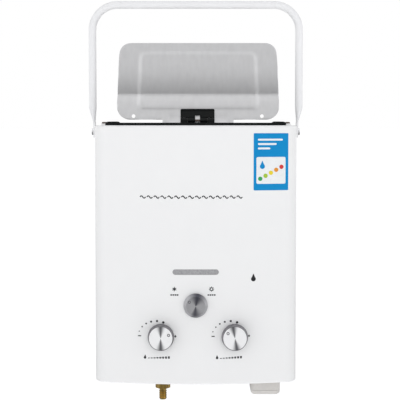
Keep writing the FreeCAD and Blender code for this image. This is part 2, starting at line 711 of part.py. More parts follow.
# Exhaust surround: a black frame with slats over the flue opening, and four pads that the closed
# lid lands on.
def make_exhaust_surround():
    body = new_body("exhaust_surround")
    frame = sketch_at_z(body, TOP)
    wide = S.surround_width - 2 * S.surround_rim
    deep = S.surround_depth - 2 * S.surround_rim
    rectangle(frame, as_size(0), -S.surround_middle, S.surround_width, S.surround_depth, S.surround_rim / 2)
    rectangle(frame, as_size(0), -S.surround_middle, wide, deep)
    pad(body, frame, S.surround_height)
    slat = sketch_at_z(body, TOP)
    pitch = wide / (S.slat_count + 1)
    rectangle(slat, -wide / 2 + pitch, -S.surround_middle, S.slat_width, deep + S.surround_rim)
    first = pad(body, slat, S.slat_height)
    repeat(body, [first], "H_Axis", pitch * (S.slat_count - 1), S.slat_count)


def make_corner_bumpers():
    body = new_body("corner_bumpers")
    pads = sketch_at_z(body, TOP + S.surround_height)
    for side in (-1, 1):
        for end in (-1, 1):
            rectangle(pads, side * (S.surround_width - S.bumper_length) / 2,
                      -S.surround_middle + end * (S.surround_depth - S.bumper_width) / 2,
                      S.bumper_length, S.bumper_width, S.bumper_width / 4)
    pad(body, pads, S.bumper_height)
    top = float(TOP + S.surround_height + S.bumper_height)
    round_edges(body, S.bumper_height / 3, lambda edge: edge.BoundBox.ZMin > top - 1e-3)


# Places that several pieces share, worked out from the sizes.
FLUE_FRONT = S.flue_middle + S.flue_depth / 2
CORE_MIDDLE = BOTTOM + (S.core_foot + S.hood_foot) / 2
WATER_LINE = S.tube_pitch - S.flue_middle
COLD_LINE = -S.tube_pitch - S.flue_middle
HOT_PIPE = S.flue_width / 2 + S.pipe_reach
BATTERY_MIDDLE = S.battery_depth / 2 - S.battery_front
PLATE_TOP = BOTTOM + S.casing_sheet + S.chassis_sheet
PLATE_FOOT = BOTTOM + S.casing_sheet
BLADE_SPAN = S.blade_pitch * (S.blade_count - 1)


# Flue path: burner tray with its blades, copper chamber, finned core with its tubes, and the hood
# that leads the exhaust up through the casing's top.
def make_box_tube(label, foot, top):
    body = new_body(label)
    ring = sketch_at_z(body, BOTTOM + foot)
    rectangle(ring, as_size(0), -S.flue_middle, S.flue_width, S.flue_depth)
    rectangle(ring, as_size(0), -S.flue_middle, S.flue_width - 2 * S.chamber_sheet,
              S.flue_depth - 2 * S.chamber_sheet)
    pad(body, ring, top - foot)
    return body


def make_burner_tray():
    make_box_tube("burner_tray", S.tray_foot, S.chamber_foot)


def make_burner_blades():
    body = new_body("burner_blades")
    sketch = sketch_at_y(body, S.flue_depth / 2 - S.flue_middle - S.chamber_sheet)
    x = -BLADE_SPAN / 2
    foot = BOTTOM + S.tray_foot - S.blade_drop
    top = BOTTOM + S.chamber_foot + S.blade_rise
    wide = S.blade_width / 2
    neck = S.blade_neck / 2
    outline(sketch, [
        (x - wide, foot, wide / 2), (x + wide, foot, wide / 2), (x + wide, foot + 3 * wide),
        (x + neck, foot + 4 * wide), (x + neck, top - 3 * wide), (x + wide, top - 2 * wide), (x + wide, top),
        (x - wide, top), (x - wide, top - 2 * wide), (x - neck, top - 3 * wide), (x - neck, foot + 4 * wide),
        (x - wide, foot + 3 * wide),
    ])
    blade = pad(body, sketch, S.flue_depth - 2 * S.chamber_sheet)
    mouth = sketch_at_y(body, -FLUE_FRONT)
    circle(mouth, x, BOTTOM + S.manifold_middle, wide * 0.6)
    hollow = pocket(body, mouth, S.flue_depth / 4)
    repeat(body, [blade, hollow], "H_Axis", BLADE_SPAN, S.blade_count)


def make_combustion_chamber():
    body = make_box_tube("combustion_chamber", S.chamber_foot, S.core_foot)
    holes = sketch_at_y(body, -S.flue_middle)
    rectangle(holes, as_size(0), BOTTOM + S.window_middle, S.sight_width, S.sight_height)
    for side in (-1, 1):
        circle(holes, side * S.sensor_spacing / 2, BOTTOM + S.sensor_height, S.ceramic_radius + S.running_gap)
    pocket(body, holes, backwards=True)


def make_heat_exchanger_core():
    body = new_body("heat_exchanger_core")
    block = sketch_at_z(body, BOTTOM + S.core_foot)
    rectangle(block, as_size(0), -S.flue_middle, S.flue_width, S.flue_depth)
    pad(body, block, S.hood_foot - S.core_foot)
    pitch = S.flue_width / (S.fin_count + 1)
    grooves = []
    for level in (S.core_foot, S.hood_foot):
        groove = sketch_at_y(body, -S.flue_middle)
        rectangle(groove, -S.flue_width / 2 + pitch, BOTTOM + level, S.fin_groove, 2 * S.fin_depth)
        grooves.append(pocket(body, groove, S.flue_depth - 4 * S.chamber_sheet, both_ways=True))
    repeat(body, grooves, "H_Axis", pitch * (S.fin_count - 1), S.fin_count)


def make_return_bends():
    body = new_body("return_bends")
    for side in (-1, 1):
        sketch = sketch_at_x(body, side * S.flue_width / 2)
        turn_line = -S.flue_middle + side * S.tube_pitch / 2
        circle(sketch, turn_line + S.tube_pitch / 2, CORE_MIDDLE, S.tube_radius)
        foot = Vector(float(turn_line), float(CORE_MIDDLE - S.tube_pitch), 0)
        head = Vector(float(turn_line), float(CORE_MIDDLE + S.tube_pitch), 0)
        line = sketch.addGeometry(Part.LineSegment(foot, head), True)
        pin_point(sketch, line, 1, turn_line, CORE_MIDDLE - S.tube_pitch)
        pin_point(sketch, line, 2, turn_line, CORE_MIDDLE + S.tube_pitch)
        feature = body.newObject("PartDesign::Revolution", "Revolution")
        feature.Profile = sketch
        feature.ReferenceAxis = (sketch, ["Axis0"])
        feature.Angle = 180
        feature.Reversed = side > 0
        document.recompute()


def make_flue_hood():
    body = new_body("flue_hood")
    foot = BOTTOM + S.hood_foot
    head = TOP - S.casing_sheet
    for inset in (as_size(0), 2 * S.chamber_sheet):
        first = sketch_at_z(body, foot)
        rectangle(first, as_size(0), -S.flue_middle, S.flue_width - inset, S.flue_depth - inset)
        last = sketch_at_z(body, head)
        rectangle(last, as_size(0), -S.surround_middle, S.hood_top_width - inset, S.hood_top_depth - inset)
        loft(body, first, last, cuts=float(inset) > 0)


def make_chamber_brackets():
    body = new_body("chamber_brackets")
    sketch = sketch_at_z(body, BOTTOM + S.bracket_foot)
    rear = -S.chassis_sheet
    front = S.flue_depth / 2 - S.flue_middle
    thick = S.bracket_sheet
    for side in (-1, 1):
        x = side * S.bracket_spacing / 2
        reach = side * S.bracket_width / 2
        web = side * thick
        outline(sketch, [
            (x - reach, rear), (x + web / 2, rear), (x + web / 2, front + thick), (x + reach, front + thick),
            (x + reach, front), (x - web / 2, front), (x - web / 2, rear - thick), (x - reach, rear - thick),
        ])
    pad(body, sketch, S.bracket_height)


# Ignition electrode and flame sensor: two ceramic bodies in the chamber's front, each round a rod.
def make_sensor_ceramics():
    body = new_body("sensor_ceramics")
    rods = S.sensor_rod_radius + S.running_gap
    barrel = sketch_at_y(body, S.ceramic_back - FLUE_FRONT)
    collar = sketch_at_y(body, -FLUE_FRONT)
    for side in (-1, 1):
        x = side * S.sensor_spacing / 2
        z = BOTTOM + S.sensor_height
        circle(barrel, x, z, S.ceramic_radius)
        circle(barrel, x, z, rods)
        circle(collar, x, z, S.ceramic_radius * 1.5)
        circle(collar, x, z, rods)
    pad(body, barrel, S.ceramic_front + S.ceramic_back)
    pad(body, collar, S.ceramic_front / 4)


def make_sensor_rods():
    body = new_body("sensor_rods")
    rods = sketch_at_y(body, S.ceramic_back + S.sensor_rod_reach - FLUE_FRONT)
    for side in (-1, 1):
        circle(rods, side * S.sensor_spacing / 2, BOTTOM + S.sensor_height, S.sensor_rod_radius)
    pad(body, rods, S.sensor_rod_reach + S.ceramic_back + S.ceramic_front + S.sensor_rod_stub)


# Water pipes: copper tubes with bends, from the water valve up to the core and from the core down to
# the hot water connection.
def make_cold_pipe():
    body = new_body("cold_pipe")
    start = S.water_knob_offset + S.side_boss_reach
    row = BOTTOM + S.knob_row
    profile = sketch_at_x(body, start)
    circle(profile, COLD_LINE, row, S.pipe_radius)
    spine = sketch_at_y(body, COLD_LINE)
    outline(spine, [(start, row), (HOT_PIPE, row, S.pipe_bend), (HOT_PIPE, CORE_MIDDLE, S.pipe_bend),
                    (S.flue_width / 2, CORE_MIDDLE)], closed=False)
    sweep(body, spine, profile)


def make_hot_pipe():
    body = new_body("hot_pipe")
    profile = sketch_at_z(body, BOTTOM + S.nipple_stem_top)
    circle(profile, -HOT_PIPE, WATER_LINE, S.pipe_radius)
    spine = sketch_at_y(body, WATER_LINE)
    outline(spine, [(-HOT_PIPE, BOTTOM + S.nipple_stem_top), (-HOT_PIPE, CORE_MIDDLE, S.pipe_bend),
                    (-S.flue_width / 2, CORE_MIDDLE)], closed=False)
    sweep(body, spine, profile)


# Gas valve: a block behind the gas knob, with a boss on the gas inlet, a socket for the spindle and
# one for the link rod.
def make_gas_valve():
    body = new_body("gas_valve")
    front = sketch_at_y(body, S.gas_valve_depth - S.valve_front)
    rectangle(front, -S.gas_knob_offset, BOTTOM + S.knob_row, S.gas_valve_width, S.gas_valve_height,
              S.gas_boss_radius / 3)
    pad(body, front, S.gas_valve_depth)
    boss = sketch_at_z(body, BOTTOM + S.gas_stem_top)
    circle(boss, -S.gas_inlet_offset, -S.gas_inlet_depth, S.gas_boss_radius)
    pad(body, boss, S.knob_row - S.gas_stem_top)
    bore = sketch_at_y(body, -S.valve_front)
    circle(bore, -S.gas_knob_offset, BOTTOM + S.knob_row, S.spindle_radius + S.running_gap)
    pocket(body, bore, S.spindle_socket + S.end_gap)
    socket = sketch_at_x(body, S.gas_valve_width / 2 - S.gas_knob_offset)
    circle(socket, -S.diaphragm_depth, BOTTOM + S.knob_row, S.link_radius + S.running_gap)
    pocket(body, socket, S.link_socket + S.link_travel + 1)


def make_gas_solenoid():
    body = new_body("gas_solenoid")
    rim = S.solenoid_radius - 2
    turn(body, [(0, 0), (S.solenoid_radius, 0), (S.solenoid_radius, 4), (rim, 4), (rim, S.solenoid_length - 4),
                (S.solenoid_radius, S.solenoid_length - 4), (S.solenoid_radius, S.solenoid_length),
                (0, S.solenoid_length)])
    place(body, -S.gas_knob_offset - S.gas_valve_width / 2, -S.diaphragm_depth, BOTTOM + S.knob_row, "left")


def make_gas_pipe():
    body = new_body("gas_pipe")
    foot = S.knob_row + S.gas_valve_height / 2
    head = S.manifold_middle - S.manifold_height / 2
    collar = S.gas_pipe_radius * 1.4
    turn(body, [(0, 0), (collar, 0), (collar, 4), (S.gas_pipe_radius, 4), (S.gas_pipe_radius, head - foot - 4),
                (collar, head - foot - 4), (collar, head - foot), (0, head - foot)])
    place(body, -S.gas_knob_offset - S.gas_valve_width / 4, MANIFOLD_LINE, BOTTOM + foot)


# Gas manifold: a bar under the burner's front with a leg at each end, and one nozzle for each blade.
def make_gas_manifold():
    body = new_body("gas_manifold")
    level = BOTTOM + S.manifold_middle - S.manifold_height / 2
    bar = sketch_at_z(body, level)
    rectangle(bar, as_size(0), MANIFOLD_LINE, S.flue_width, S.manifold_depth)
    pad(body, bar, S.manifold_height)
    legs = sketch_at_z(body, level)
    for side in (-1, 1):
        rectangle(legs, side * (S.flue_width - S.manifold_depth) / 2, -FLUE_FRONT - S.manifold_gap / 2,
                  S.manifold_depth, S.manifold_gap)
    pad(body, legs, S.manifold_height + S.manifold_gap)


def make_gas_nozzles():
    body = new_body("gas_nozzles")
    sketch = sketch_at_y(body, -FLUE_FRONT - S.manifold_gap)
    circle(sketch, -BLADE_SPAN / 2, BOTTOM + S.manifold_middle, S.nozzle_radius)
    circle(sketch, -BLADE_SPAN / 2, BOTTOM + S.manifold_middle, S.nozzle_radius / 3)
    nozzle = pad(body, sketch, S.nozzle_length, backwards=True)
    repeat(body, [nozzle], "H_Axis", BLADE_SPAN, S.blade_count)


def make_season_valve():
    body = new_body("season_valve")
    rear = -FLUE_FRONT - S.manifold_gap - S.manifold_depth
    block = sketch_at_y(body, rear)
    rectangle(block, as_size(0), BOTTOM + S.season_row, S.season_block, S.season_block_height, 4)
    pad(body, block, S.season_block_front + rear)
    bore = sketch_at_y(body, -S.season_block_front)
    circle(bore, as_size(0), BOTTOM + S.season_row, S.spindle_radius + S.running_gap)
    pocket(body, bore, S.spindle_socket + S.end_gap)


# Water valve: a brass barrel behind the water knob, joined to half of the round diaphragm housing.
# The other half is its cover. Water pressure moves the link rod, which opens the gas valve.
def make_water_valve():
    body = new_body("water_valve")
    row = BOTTOM + S.knob_row
    barrel = sketch_at_y(body, S.water_valve_depth - S.valve_front)
    circle(barrel, S.water_knob_offset, row, S.water_valve_radius)
    pad(body, barrel, S.water_valve_depth)
    boss = sketch_at_z(body, BOTTOM + S.nipple_stem_top)
    circle(boss, S.water_knob_offset, WATER_LINE, S.water_boss_radius)
    pad(body, boss, S.knob_row - S.nipple_stem_top)
    outlet = sketch_at_x(body, S.water_knob_offset)
    circle(outlet, COLD_LINE, row, S.side_boss_radius)
    pad(body, outlet, S.side_boss_reach)
    housing = sketch_at_x(body, DIAPHRAGM)
    circle(housing, -S.diaphragm_depth, row, S.diaphragm_radius)
    pad(body, housing, 2 * S.diaphragm_half)
    bore = sketch_at_y(body, -S.valve_front)
    circle(bore, S.water_knob_offset, row, S.spindle_radius + S.running_gap)
    pocket(body, bore, S.spindle_socket + S.end_gap)


def make_diaphragm_cover():
    body = new_body("diaphragm_cover")
    rod = S.link_radius + S.running_gap
    half = S.diaphragm_half
    hub = S.diaphragm_radius / 3
    turn(body, [(rod, 0), (S.diaphragm_radius, 0), (S.diaphragm_radius, half / 2), (S.diaphragm_radius * 0.7, half / 2),
                (hub, half), (rod, half)])
    place(body, DIAPHRAGM, -S.diaphragm_depth, BOTTOM + S.knob_row, "left")


def make_diaphragm_screws():
    body = new_body("diaphragm_screws")
    sketch = sketch_at_x(body, DIAPHRAGM - S.diaphragm_half / 2)
    reach = S.diaphragm_radius - S.diaphragm_screw_radius - 1
    for angle in range(30, 390, 60):
        circle(sketch, reach * math.cos(math.radians(angle)) - S.diaphragm_depth,
               reach * math.sin(math.radians(angle)) + BOTTOM + S.knob_row, S.diaphragm_screw_radius)
    pad(body, sketch, S.diaphragm_screw_height, backwards=True)


def make_link_rod():
    body = new_body("link_rod")
    start = DIAPHRAGM - S.end_gap
    end = S.gas_valve_width / 2 - S.gas_knob_offset - S.link_socket
    collar = S.link_radius * 2
    middle = (start - end) / 2
    turn(body, [(0, 0), (S.link_radius, 0), (S.link_radius, middle), (collar, middle), (collar, middle + 3),
                (S.link_radius, middle + 3), (S.link_radius, start - end), (0, start - end)])
    place(body, start, -S.diaphragm_depth, BOTTOM + S.knob_row, "left")


def make_micro_switch():
    body = new_body("micro_switch")
    foot = BOTTOM + S.knob_row + 2 * S.link_radius
    sketch = sketch_at_x(body, S.gas_valve_width / 2 - S.gas_knob_offset)
    rectangle(sketch, -S.diaphragm_depth, foot + S.switch_height / 2, S.switch_length, S.switch_height, 1)
    pad(body, sketch, S.switch_width)


# Connections below the casing: a gas inlet with a hexagon and a ridged hose barb, two threaded water
# connections and a drain plug. Nuts above the bottom plate hold the first three.
def make_gas_inlet():
    body = new_body("gas_inlet")
    bore = S.barb_bore_radius
    hex_foot = -S.gas_hex_foot
    hex_top = hex_foot + S.gas_hex_height
    foot = hex_foot - S.barb_length
    pitch = S.barb_length / (S.barb_ridges + 1)
    profile = [(bore, foot), (S.barb_core_radius, foot)]
    for ridge in range(int(S.barb_ridges.number)):
        low = foot + ridge * pitch
        profile += [(S.barb_radius, low + 0.7 * pitch), (S.barb_radius, low + 0.9 * pitch),
                    (S.barb_core_radius, low + pitch)]
    stem_foot = S.casing_sheet
    profile += [(S.barb_core_radius, hex_foot), (S.gas_collar_radius, hex_foot), (S.gas_collar_radius, stem_foot),
                (S.gas_stem_radius, stem_foot), (S.gas_stem_radius, S.gas_stem_top), (bore, S.gas_stem_top)]
    turn(body, profile)
    nut = sketch_at_z(body, hex_foot)
    hexagon(nut, as_size(0), as_size(0), S.gas_hex_flats)
    circle(nut, as_size(0), as_size(0), S.gas_collar_radius - 1)
    pad(body, nut, hex_top - hex_foot)
    place(body, -S.gas_inlet_offset, -S.gas_inlet_depth, BOTTOM)


def make_water_connection(label, x):
    body = new_body(label)
    bore = S.nipple_bore_radius
    seat = S.casing_sheet
    flange = seat - S.nipple_flange_height
    foot = flange - S.nipple_length
    chamfer = 1
    turn(body, [(bore, foot), (S.nipple_radius - chamfer, foot), (S.nipple_radius, foot + chamfer),
                (S.nipple_radius, flange), (S.nipple_flange_radius, flange), (S.nipple_flange_radius, seat),
                (S.nipple_stem_radius, seat), (S.nipple_stem_radius, S.nipple_stem_top),
                (bore, S.nipple_stem_top)])
    place(body, x, WATER_LINE, BOTTOM)


def make_drain_plug():
    body = new_body("drain_plug")
    turn(body, [(0, -S.drain_drop), (S.drain_radius - 1, -S.drain_drop), (S.drain_radius, 1 - S.drain_drop),
                (S.drain_radius, S.casing_sheet), (S.drain_stem_radius, S.casing_sheet),
                (S.drain_stem_radius, S.drain_stem_radius), (0, S.drain_stem_radius)])
    place(body, S.drain_offset, WATER_LINE, BOTTOM)


def make_locknuts():
    body = new_body("locknuts")
    sketch = sketch_at_z(body, PLATE_TOP)
    stems = [(-S.gas_inlet_offset, -S.gas_inlet_depth, S.gas_stem_radius),
             (S.water_knob_offset, WATER_LINE, S.nipple_stem_radius),
             (-HOT_PIPE, WATER_LINE, S.nipple_stem_radius)]
    for x, y, radius in stems:
        hexagon(sketch, x, y, 2 * radius + 7)
        circle(sketch, x, y, radius + S.running_gap)
    pad(body, sketch, S.locknut_height)


# Battery box: a plastic well through the bottom plate, open below, with a hinged door, two cells and
# a contact block above them.
def make_battery_box():
    body = new_body("battery_box")
    foot = DOOR_SEAM + S.end_gap
    outer = sketch_at_z(body, foot)
    rectangle(outer, S.battery_offset, BATTERY_MIDDLE, S.battery_width, S.battery_depth, S.battery_corner)
    pad(body, outer, CAVITY_TOP + S.battery_wall - foot)
    flange = sketch_at_z(body, PLATE_TOP)
    wide = 2 * S.battery_flange
    rectangle(flange, S.battery_offset, BATTERY_MIDDLE, S.battery_width + wide, S.battery_depth + wide,
              S.battery_corner)
    pad(body, flange, S.battery_wall)
    lug = sketch_at_x(body, S.battery_offset)
    circle(lug, DOOR_AXIS, DOOR_SEAM, S.door_barrel_radius)
    pad(body, lug, LUG_SPAN, both_ways=True)
    arm = sketch_at_x(body, S.battery_offset)
    rear = -S.battery_front + S.battery_depth
    reach = DOOR_AXIS - rear
    rectangle(arm, rear + reach / 2, DOOR_SEAM + S.door_barrel_radius / 2 + S.end_gap, reach,
              S.door_barrel_radius)
    pad(body, arm, LUG_SPAN, both_ways=True)
    gap = sketch_at_z(body, DOOR_SEAM)
    rectangle(gap, S.battery_offset, rear + 4 * S.door_barrel_radius, S.door_barrel_length + 2 * S.end_gap,
              8 * S.door_barrel_radius)
    pocket(body, gap, 6 * S.door_barrel_radius, both_ways=True)
    cavity = sketch_at_z(body, foot)
    inner = 2 * S.battery_wall
    rectangle(cavity, S.battery_offset, BATTERY_MIDDLE, S.battery_width - inner, S.battery_depth - inner,
              S.battery_corner - S.battery_wall)
    pocket(body, cavity, CAVITY_TOP - foot, backwards=True)
    pin = sketch_at_x(body, S.battery_offset)
    circle(pin, DOOR_AXIS, DOOR_SEAM, S.door_pin_radius + S.running_gap)
    pocket(body, pin, LUG_SPAN + 1, both_ways=True)


def make_battery_door():
    body = new_body("battery_door")
    foot = BOTTOM - S.battery_drop
    plate = sketch_at_z(body, foot)
    rectangle(plate, S.battery_offset, BATTERY_MIDDLE - S.end_gap / 2, S.battery_width,
              S.battery_depth - S.end_gap, S.battery_corner)
    pad(body, plate, S.door_thickness + S.door_rim)
    low = float(foot)
    round_edges(body, S.door_edge, lambda edge: edge.BoundBox.ZMax < low + 1e-3)
    hollow = sketch_at_z(body, DOOR_TOP)
    wall = 2 * S.battery_wall
    rectangle(hollow, S.battery_offset, BATTERY_MIDDLE - S.end_gap / 2, S.battery_width - wall,
              S.battery_depth - S.end_gap - wall, S.battery_corner - S.battery_wall)
    pocket(body, hollow, S.door_rim, backwards=True)
    web = sketch_at_x(body, S.battery_offset)
    rear = -S.battery_front + S.battery_depth
    reach = DOOR_AXIS - rear + S.end_gap + S.battery_wall / 2
    rectangle(web, DOOR_AXIS - reach / 2, DOOR_SEAM - S.end_gap - S.door_pin_radius, reach, 2 * S.door_pin_radius)
    pad(body, web, S.door_barrel_length, both_ways=True)
    barrel = sketch_at_x(body, S.battery_offset)
    circle(barrel, DOOR_AXIS, DOOR_SEAM, S.door_barrel_radius)
    pad(body, barrel, S.door_barrel_length, both_ways=True)
    pin = sketch_at_x(body, S.battery_offset)
    circle(pin, DOOR_AXIS, DOOR_SEAM, S.door_pin_radius + S.running_gap)
    pocket(body, pin, S.door_barrel_length + 1, both_ways=True)


def make_battery_door_pin():
    body = new_body("battery_door_pin")
    sketch = sketch_at_x(body, S.battery_offset)
    circle(sketch, DOOR_AXIS, DOOR_SEAM, S.door_pin_radius)
    pad(body, sketch, LUG_SPAN, both_ways=True)


def make_battery_cells():
    body = new_body("battery_cells")
    cells = sketch_at_z(body, DOOR_TOP + S.cell_lift)
    buttons = sketch_at_z(body, DOOR_TOP + S.cell_lift + S.cell_length)
    for side in (-1, 1):
        y = BATTERY_MIDDLE + side * S.cell_pitch / 2
        circle(cells, S.battery_offset, y, S.cell_radius)
        circle(buttons, S.battery_offset, y, S.cell_button_radius)
    pad(body, cells, S.cell_length)
    pad(body, buttons, S.cell_button_height)


def make_battery_contacts():
    body = new_body("battery_contacts")
    sketch = sketch_at_z(body, CAVITY_TOP)
    rectangle(sketch, S.battery_offset, BATTERY_MIDDLE, 2 * S.cell_button_radius, S.cell_pitch * 1.5)
    pad(body, sketch, S.contact_thickness, backwards=True)


# Control box: the spark and flame electronics, in a plastic case on the back plate.
def make_control_box():
    body = new_body("control_box")
    sketch = sketch_at_z(body, BOTTOM + S.control_foot)
    middle = S.casing_width / 2 - S.control_inset - S.control_width / 2
    rectangle(sketch, middle, -S.chassis_sheet - S.control_depth / 2, S.control_width, S.control_depth)
    pad(body, sketch, S.control_height)
    front = -float(S.chassis_sheet + S.control_depth)
    round_edges(body, S.control_edge, lambda edge: edge.BoundBox.YMax < front + 1e-3)


# Casing screws: two down through the top and two up through the bottom, into the back plate's flange.
def make_casing_screws():
    body = new_body("casing_screws")
    for level, boss, sign in ((TOP, S.screw_boss_height, 1), (BOTTOM, as_size(0), -1)):
        heads = sketch_at_z(body, level + boss)
        shanks = sketch_at_z(body, level + boss)
        for side in (-1, 1):
            x = side * (S.casing_width / 2 - S.screw_inset)
            circle(heads, x, -S.screw_depth, S.screw_head_radius)
            circle(shanks, x, -S.screw_depth, S.screw_radius)
        pad(body, heads, S.screw_head_height, backwards=sign < 0)
        pad(body, shanks, S.screw_length + boss, backwards=sign > 0)
    high = float(TOP + S.screw_boss_height + S.screw_head_height)
    low = float(BOTTOM - S.screw_head_height)
    round_edges(body, S.screw_head_height / 2,
                lambda edge: edge.BoundBox.ZMin > high - 1e-3 or edge.BoundBox.ZMax < low + 1e-3)


# Flame window: a heat-proof lens behind the slot, bent to the casing's bow.
def make_window_lens():
    body = new_body("window_lens")
    foot = BOTTOM + S.window_middle - S.window_height / 2 - S.lens_margin
    sketch = sketch_at_z(body, foot)
    centre = float(FRONT + BOW_RADIUS)
    half = S.window_width / 2 + S.lens_margin
    ends = {}
    arcs = []
    for name, inset in (("front", S.casing_sheet + S.running_gap),
                        ("rear", S.casing_sheet + S.running_gap + S.lens_thickness)):
        radius = BOW_RADIUS - inset
        side = centre - math.sqrt(float(radius) ** 2 - float(half) ** 2)
        left = Vector(-float(half), side, 0)
        right = Vector(float(half), side, 0)
        arc = sketch.addGeometry(Part.Arc(left, Vector(0, centre - float(radius), 0), right))
        pin_point(sketch, arc, 3, 0, FRONT + BOW_RADIUS)
        constrain(sketch, "Radius", arc, radius)
        first, last = (1, 2) if (sketch.getPoint(arc, 1) - left).Length < 1e-6 else (2, 1)
        constrain(sketch, "DistanceX", arc, first, -half)
        constrain(sketch, "DistanceX", arc, last, half)
        ends[name] = (arc, first, last)
        arcs.append((left, right))
    for side in (0, 1):
        line = sketch.addGeometry(Part.LineSegment(arcs[0][side], arcs[1][side]))
        front_arc = ends["front"]
        rear_arc = ends["rear"]
        sketch.addConstraint(Sketcher.Constraint("Coincident", line, 1, front_arc[0], front_arc[1 + side]))
        sketch.addConstraint(Sketcher.Constraint("Coincident", line, 2, rear_arc[0], rear_arc[1 + side]))
    pad(body, sketch, S.window_height + 2 * S.lens_margin)


# Knobs: turned plastic bodies on steel spindles, each with a spun metal face that carries one round
# mark. The gas and water knobs are alike, and the season knob is smaller and more conical.
def make_knob(name, x, row, size, socket_front, mark):
    """Makes a knob, its face and its spindle. size is (foot radius, front radius, length)."""
    radius, top_radius, length = size
    mark_distance, mark_angle = mark
    foot = -S.casing_depth - S.knob_lift
    shaft = S.spindle_radius + S.running_gap
    depth = S.knob_bore_depth if float(length) > 12 else S.knob_bore_depth * 0.6
    face = top_radius - S.face_rim
    knob = new_body(f"{name}_knob")
    turn(knob, [
        (0, depth), (shaft, depth), (shaft, 0), (radius, 0), (radius, length * 0.2),
        (top_radius, length * 0.45 if float(length) > 12 else length * 0.9), (top_radius, length),
        (face, length), (face, length - S.face_thickness), (0, length - S.face_thickness),
    ])
    place(knob, x, foot, BOTTOM + row, "front")
    disc = new_body(f"{name}_knob_face")
    rim = sketch_at_z(disc, length - S.face_thickness)
    circle(rim, as_size(0), as_size(0), face - S.running_gap)
    circle(rim, mark_distance * cosine(mark_angle), mark_distance * sine(mark_angle), S.mark_radius)
    pad(disc, rim, S.face_thickness)
    place(disc, x, foot, BOTTOM + row, "front")
    spindle = new_body(f"{name}_spindle")
    start = S.spindle_socket - socket_front
    reach = start - foot + depth
    chamfer = 0.5
    turn(spindle, [(0, 0), (S.spindle_radius, 0), (S.spindle_radius, reach - chamfer),
                   (S.spindle_radius - chamfer, reach), (0, reach)])
    place(spindle, x, start, BOTTOM + row, "front")


# Bail handle: one bent steel tube whose ends are flattened into ears, on two shoulder screws.
def tall_ellipse(sketch, x, y, half_width, half_height):
    """An ellipse whose long axis is upright in the sketch."""
    centre = Vector(float(x), float(y), 0)
    major = centre + Vector(0, float(half_height), 0)
    minor = centre + Vector(float(half_width), 0, 0)
    index = sketch.addGeometry(Part.Ellipse(major, minor, centre))
    sketch.exposeInternalGeometry(index)
    long_axis = index + 1
    short_axis = index + 2
    pin_point(sketch, index, 3, x, y)
    sketch.addConstraint(Sketcher.Constraint("Vertical", long_axis))
    constrain(sketch, "DistanceY", long_axis, 2, long_axis, 1, 2 * half_height)
    constrain(sketch, "DistanceX", short_axis, 1, short_axis, 2, 2 * half_width)


def make_bail_handle():
    body = new_body("bail_handle")
    leg = S.bail_spacing / 2
    bar = TOP + S.bail_rise
    taper_top = TOP + S.bail_taper_top
    taper_foot = TOP + S.bail_taper_foot
    pivot = TOP - S.bail_pivot_drop
    line = -S.bail_pivot_depth
    profile = sketch_at_z(body, taper_top)
    circle(profile, -leg, line, S.bail_tube_radius)
    spine = sketch_at_y(body, line)
    outline(spine, [(-leg, taper_top), (-leg, bar, S.bail_bend), (leg, bar, S.bail_bend), (leg, taper_top)],
            closed=False)
    sweep(body, spine, profile)
    for side in (-1, 1):
        inner = side * EAR_INNER
        middle = side * (EAR_INNER + S.ear_thickness / 2)
        round_end = sketch_at_z(body, taper_top)
        circle(round_end, side * leg, line, S.bail_tube_radius)
        flat_end = sketch_at_z(body, taper_foot)
        tall_ellipse(flat_end, middle, line, 0.45 * S.ear_thickness, 0.47 * S.ear_width)
        loft(body, round_end, flat_end)
        ear = sketch_at_x(body, inner)
        foot = pivot - S.ear_width / 2
        head = taper_foot + S.ear_thickness
        rounding = S.ear_width / 2 - S.least_straight
        outline(ear, [(line - S.ear_width / 2, foot, rounding), (line + S.ear_width / 2, foot, rounding),
                      (line + S.ear_width / 2, head), (line - S.ear_width / 2, head)])
        pad(body, ear, S.ear_thickness, backwards=side < 0)
    hole = sketch_at_x(body)
    circle(hole, line, pivot, S.pivot_radius + S.running_gap)
    pocket(body, hole, both_ways=True)


def make_bail_hardware():
    """Screws, washers and nuts at both pivots."""
    pivot = TOP - S.bail_pivot_drop
    line = -S.bail_pivot_depth
    side_face = S.casing_width / 2
    shank_end = EAR_INNER + S.ear_thickness + S.ear_play
    nut_face = side_face - S.casing_sheet
    screws = new_body("bail_screws")
    washers = new_body("bail_washers")
    nuts = new_body("bail_nuts")
    for side in (-1, 1):
        shank = sketch_at_x(screws, side * (nut_face - S.nut_thickness))
        circle(shank, line, pivot, S.pivot_radius)
        pad(screws, shank, shank_end - nut_face + S.nut_thickness, backwards=side < 0)
        head = sketch_at_x(screws, side * shank_end)
        circle(head, line, pivot, S.pivot_head_radius)
        pad(screws, head, S.pivot_head_height, backwards=side < 0)
        ring = sketch_at_x(washers, side * side_face)
        circle(ring, line, pivot, S.washer_radius)
        circle(ring, line, pivot, S.pivot_radius + S.running_gap)
        pad(washers, ring, S.washer_thickness, backwards=side < 0)
        nut = sketch_at_x(nuts, side * nut_face)
        hexagon(nut, line, pivot, S.nut_flats)
        circle(nut, line, pivot, S.pivot_radius + S.running_gap)
        pad(nuts, nut, S.nut_thickness, backwards=side > 0)
    far = float(shank_end + S.pivot_head_height)
    round_edges(screws, S.pivot_head_height / 2, lambda edge: abs(edge.BoundBox.Center.x) > far - 1e-3)


# Rain lid: one brushed sheet with a fold, rounded corners, a tab at its foot and a pressed panel
# across the fold. It stands open, and folds forward over the exhaust.
def lid_front(height):
    """The open lid's front face, at a height above the casing at or below the fold."""
    return -S.lid_wall_gap - S.lid_sheet - (S.fold_height - height) * tangent(S.strip_lean)


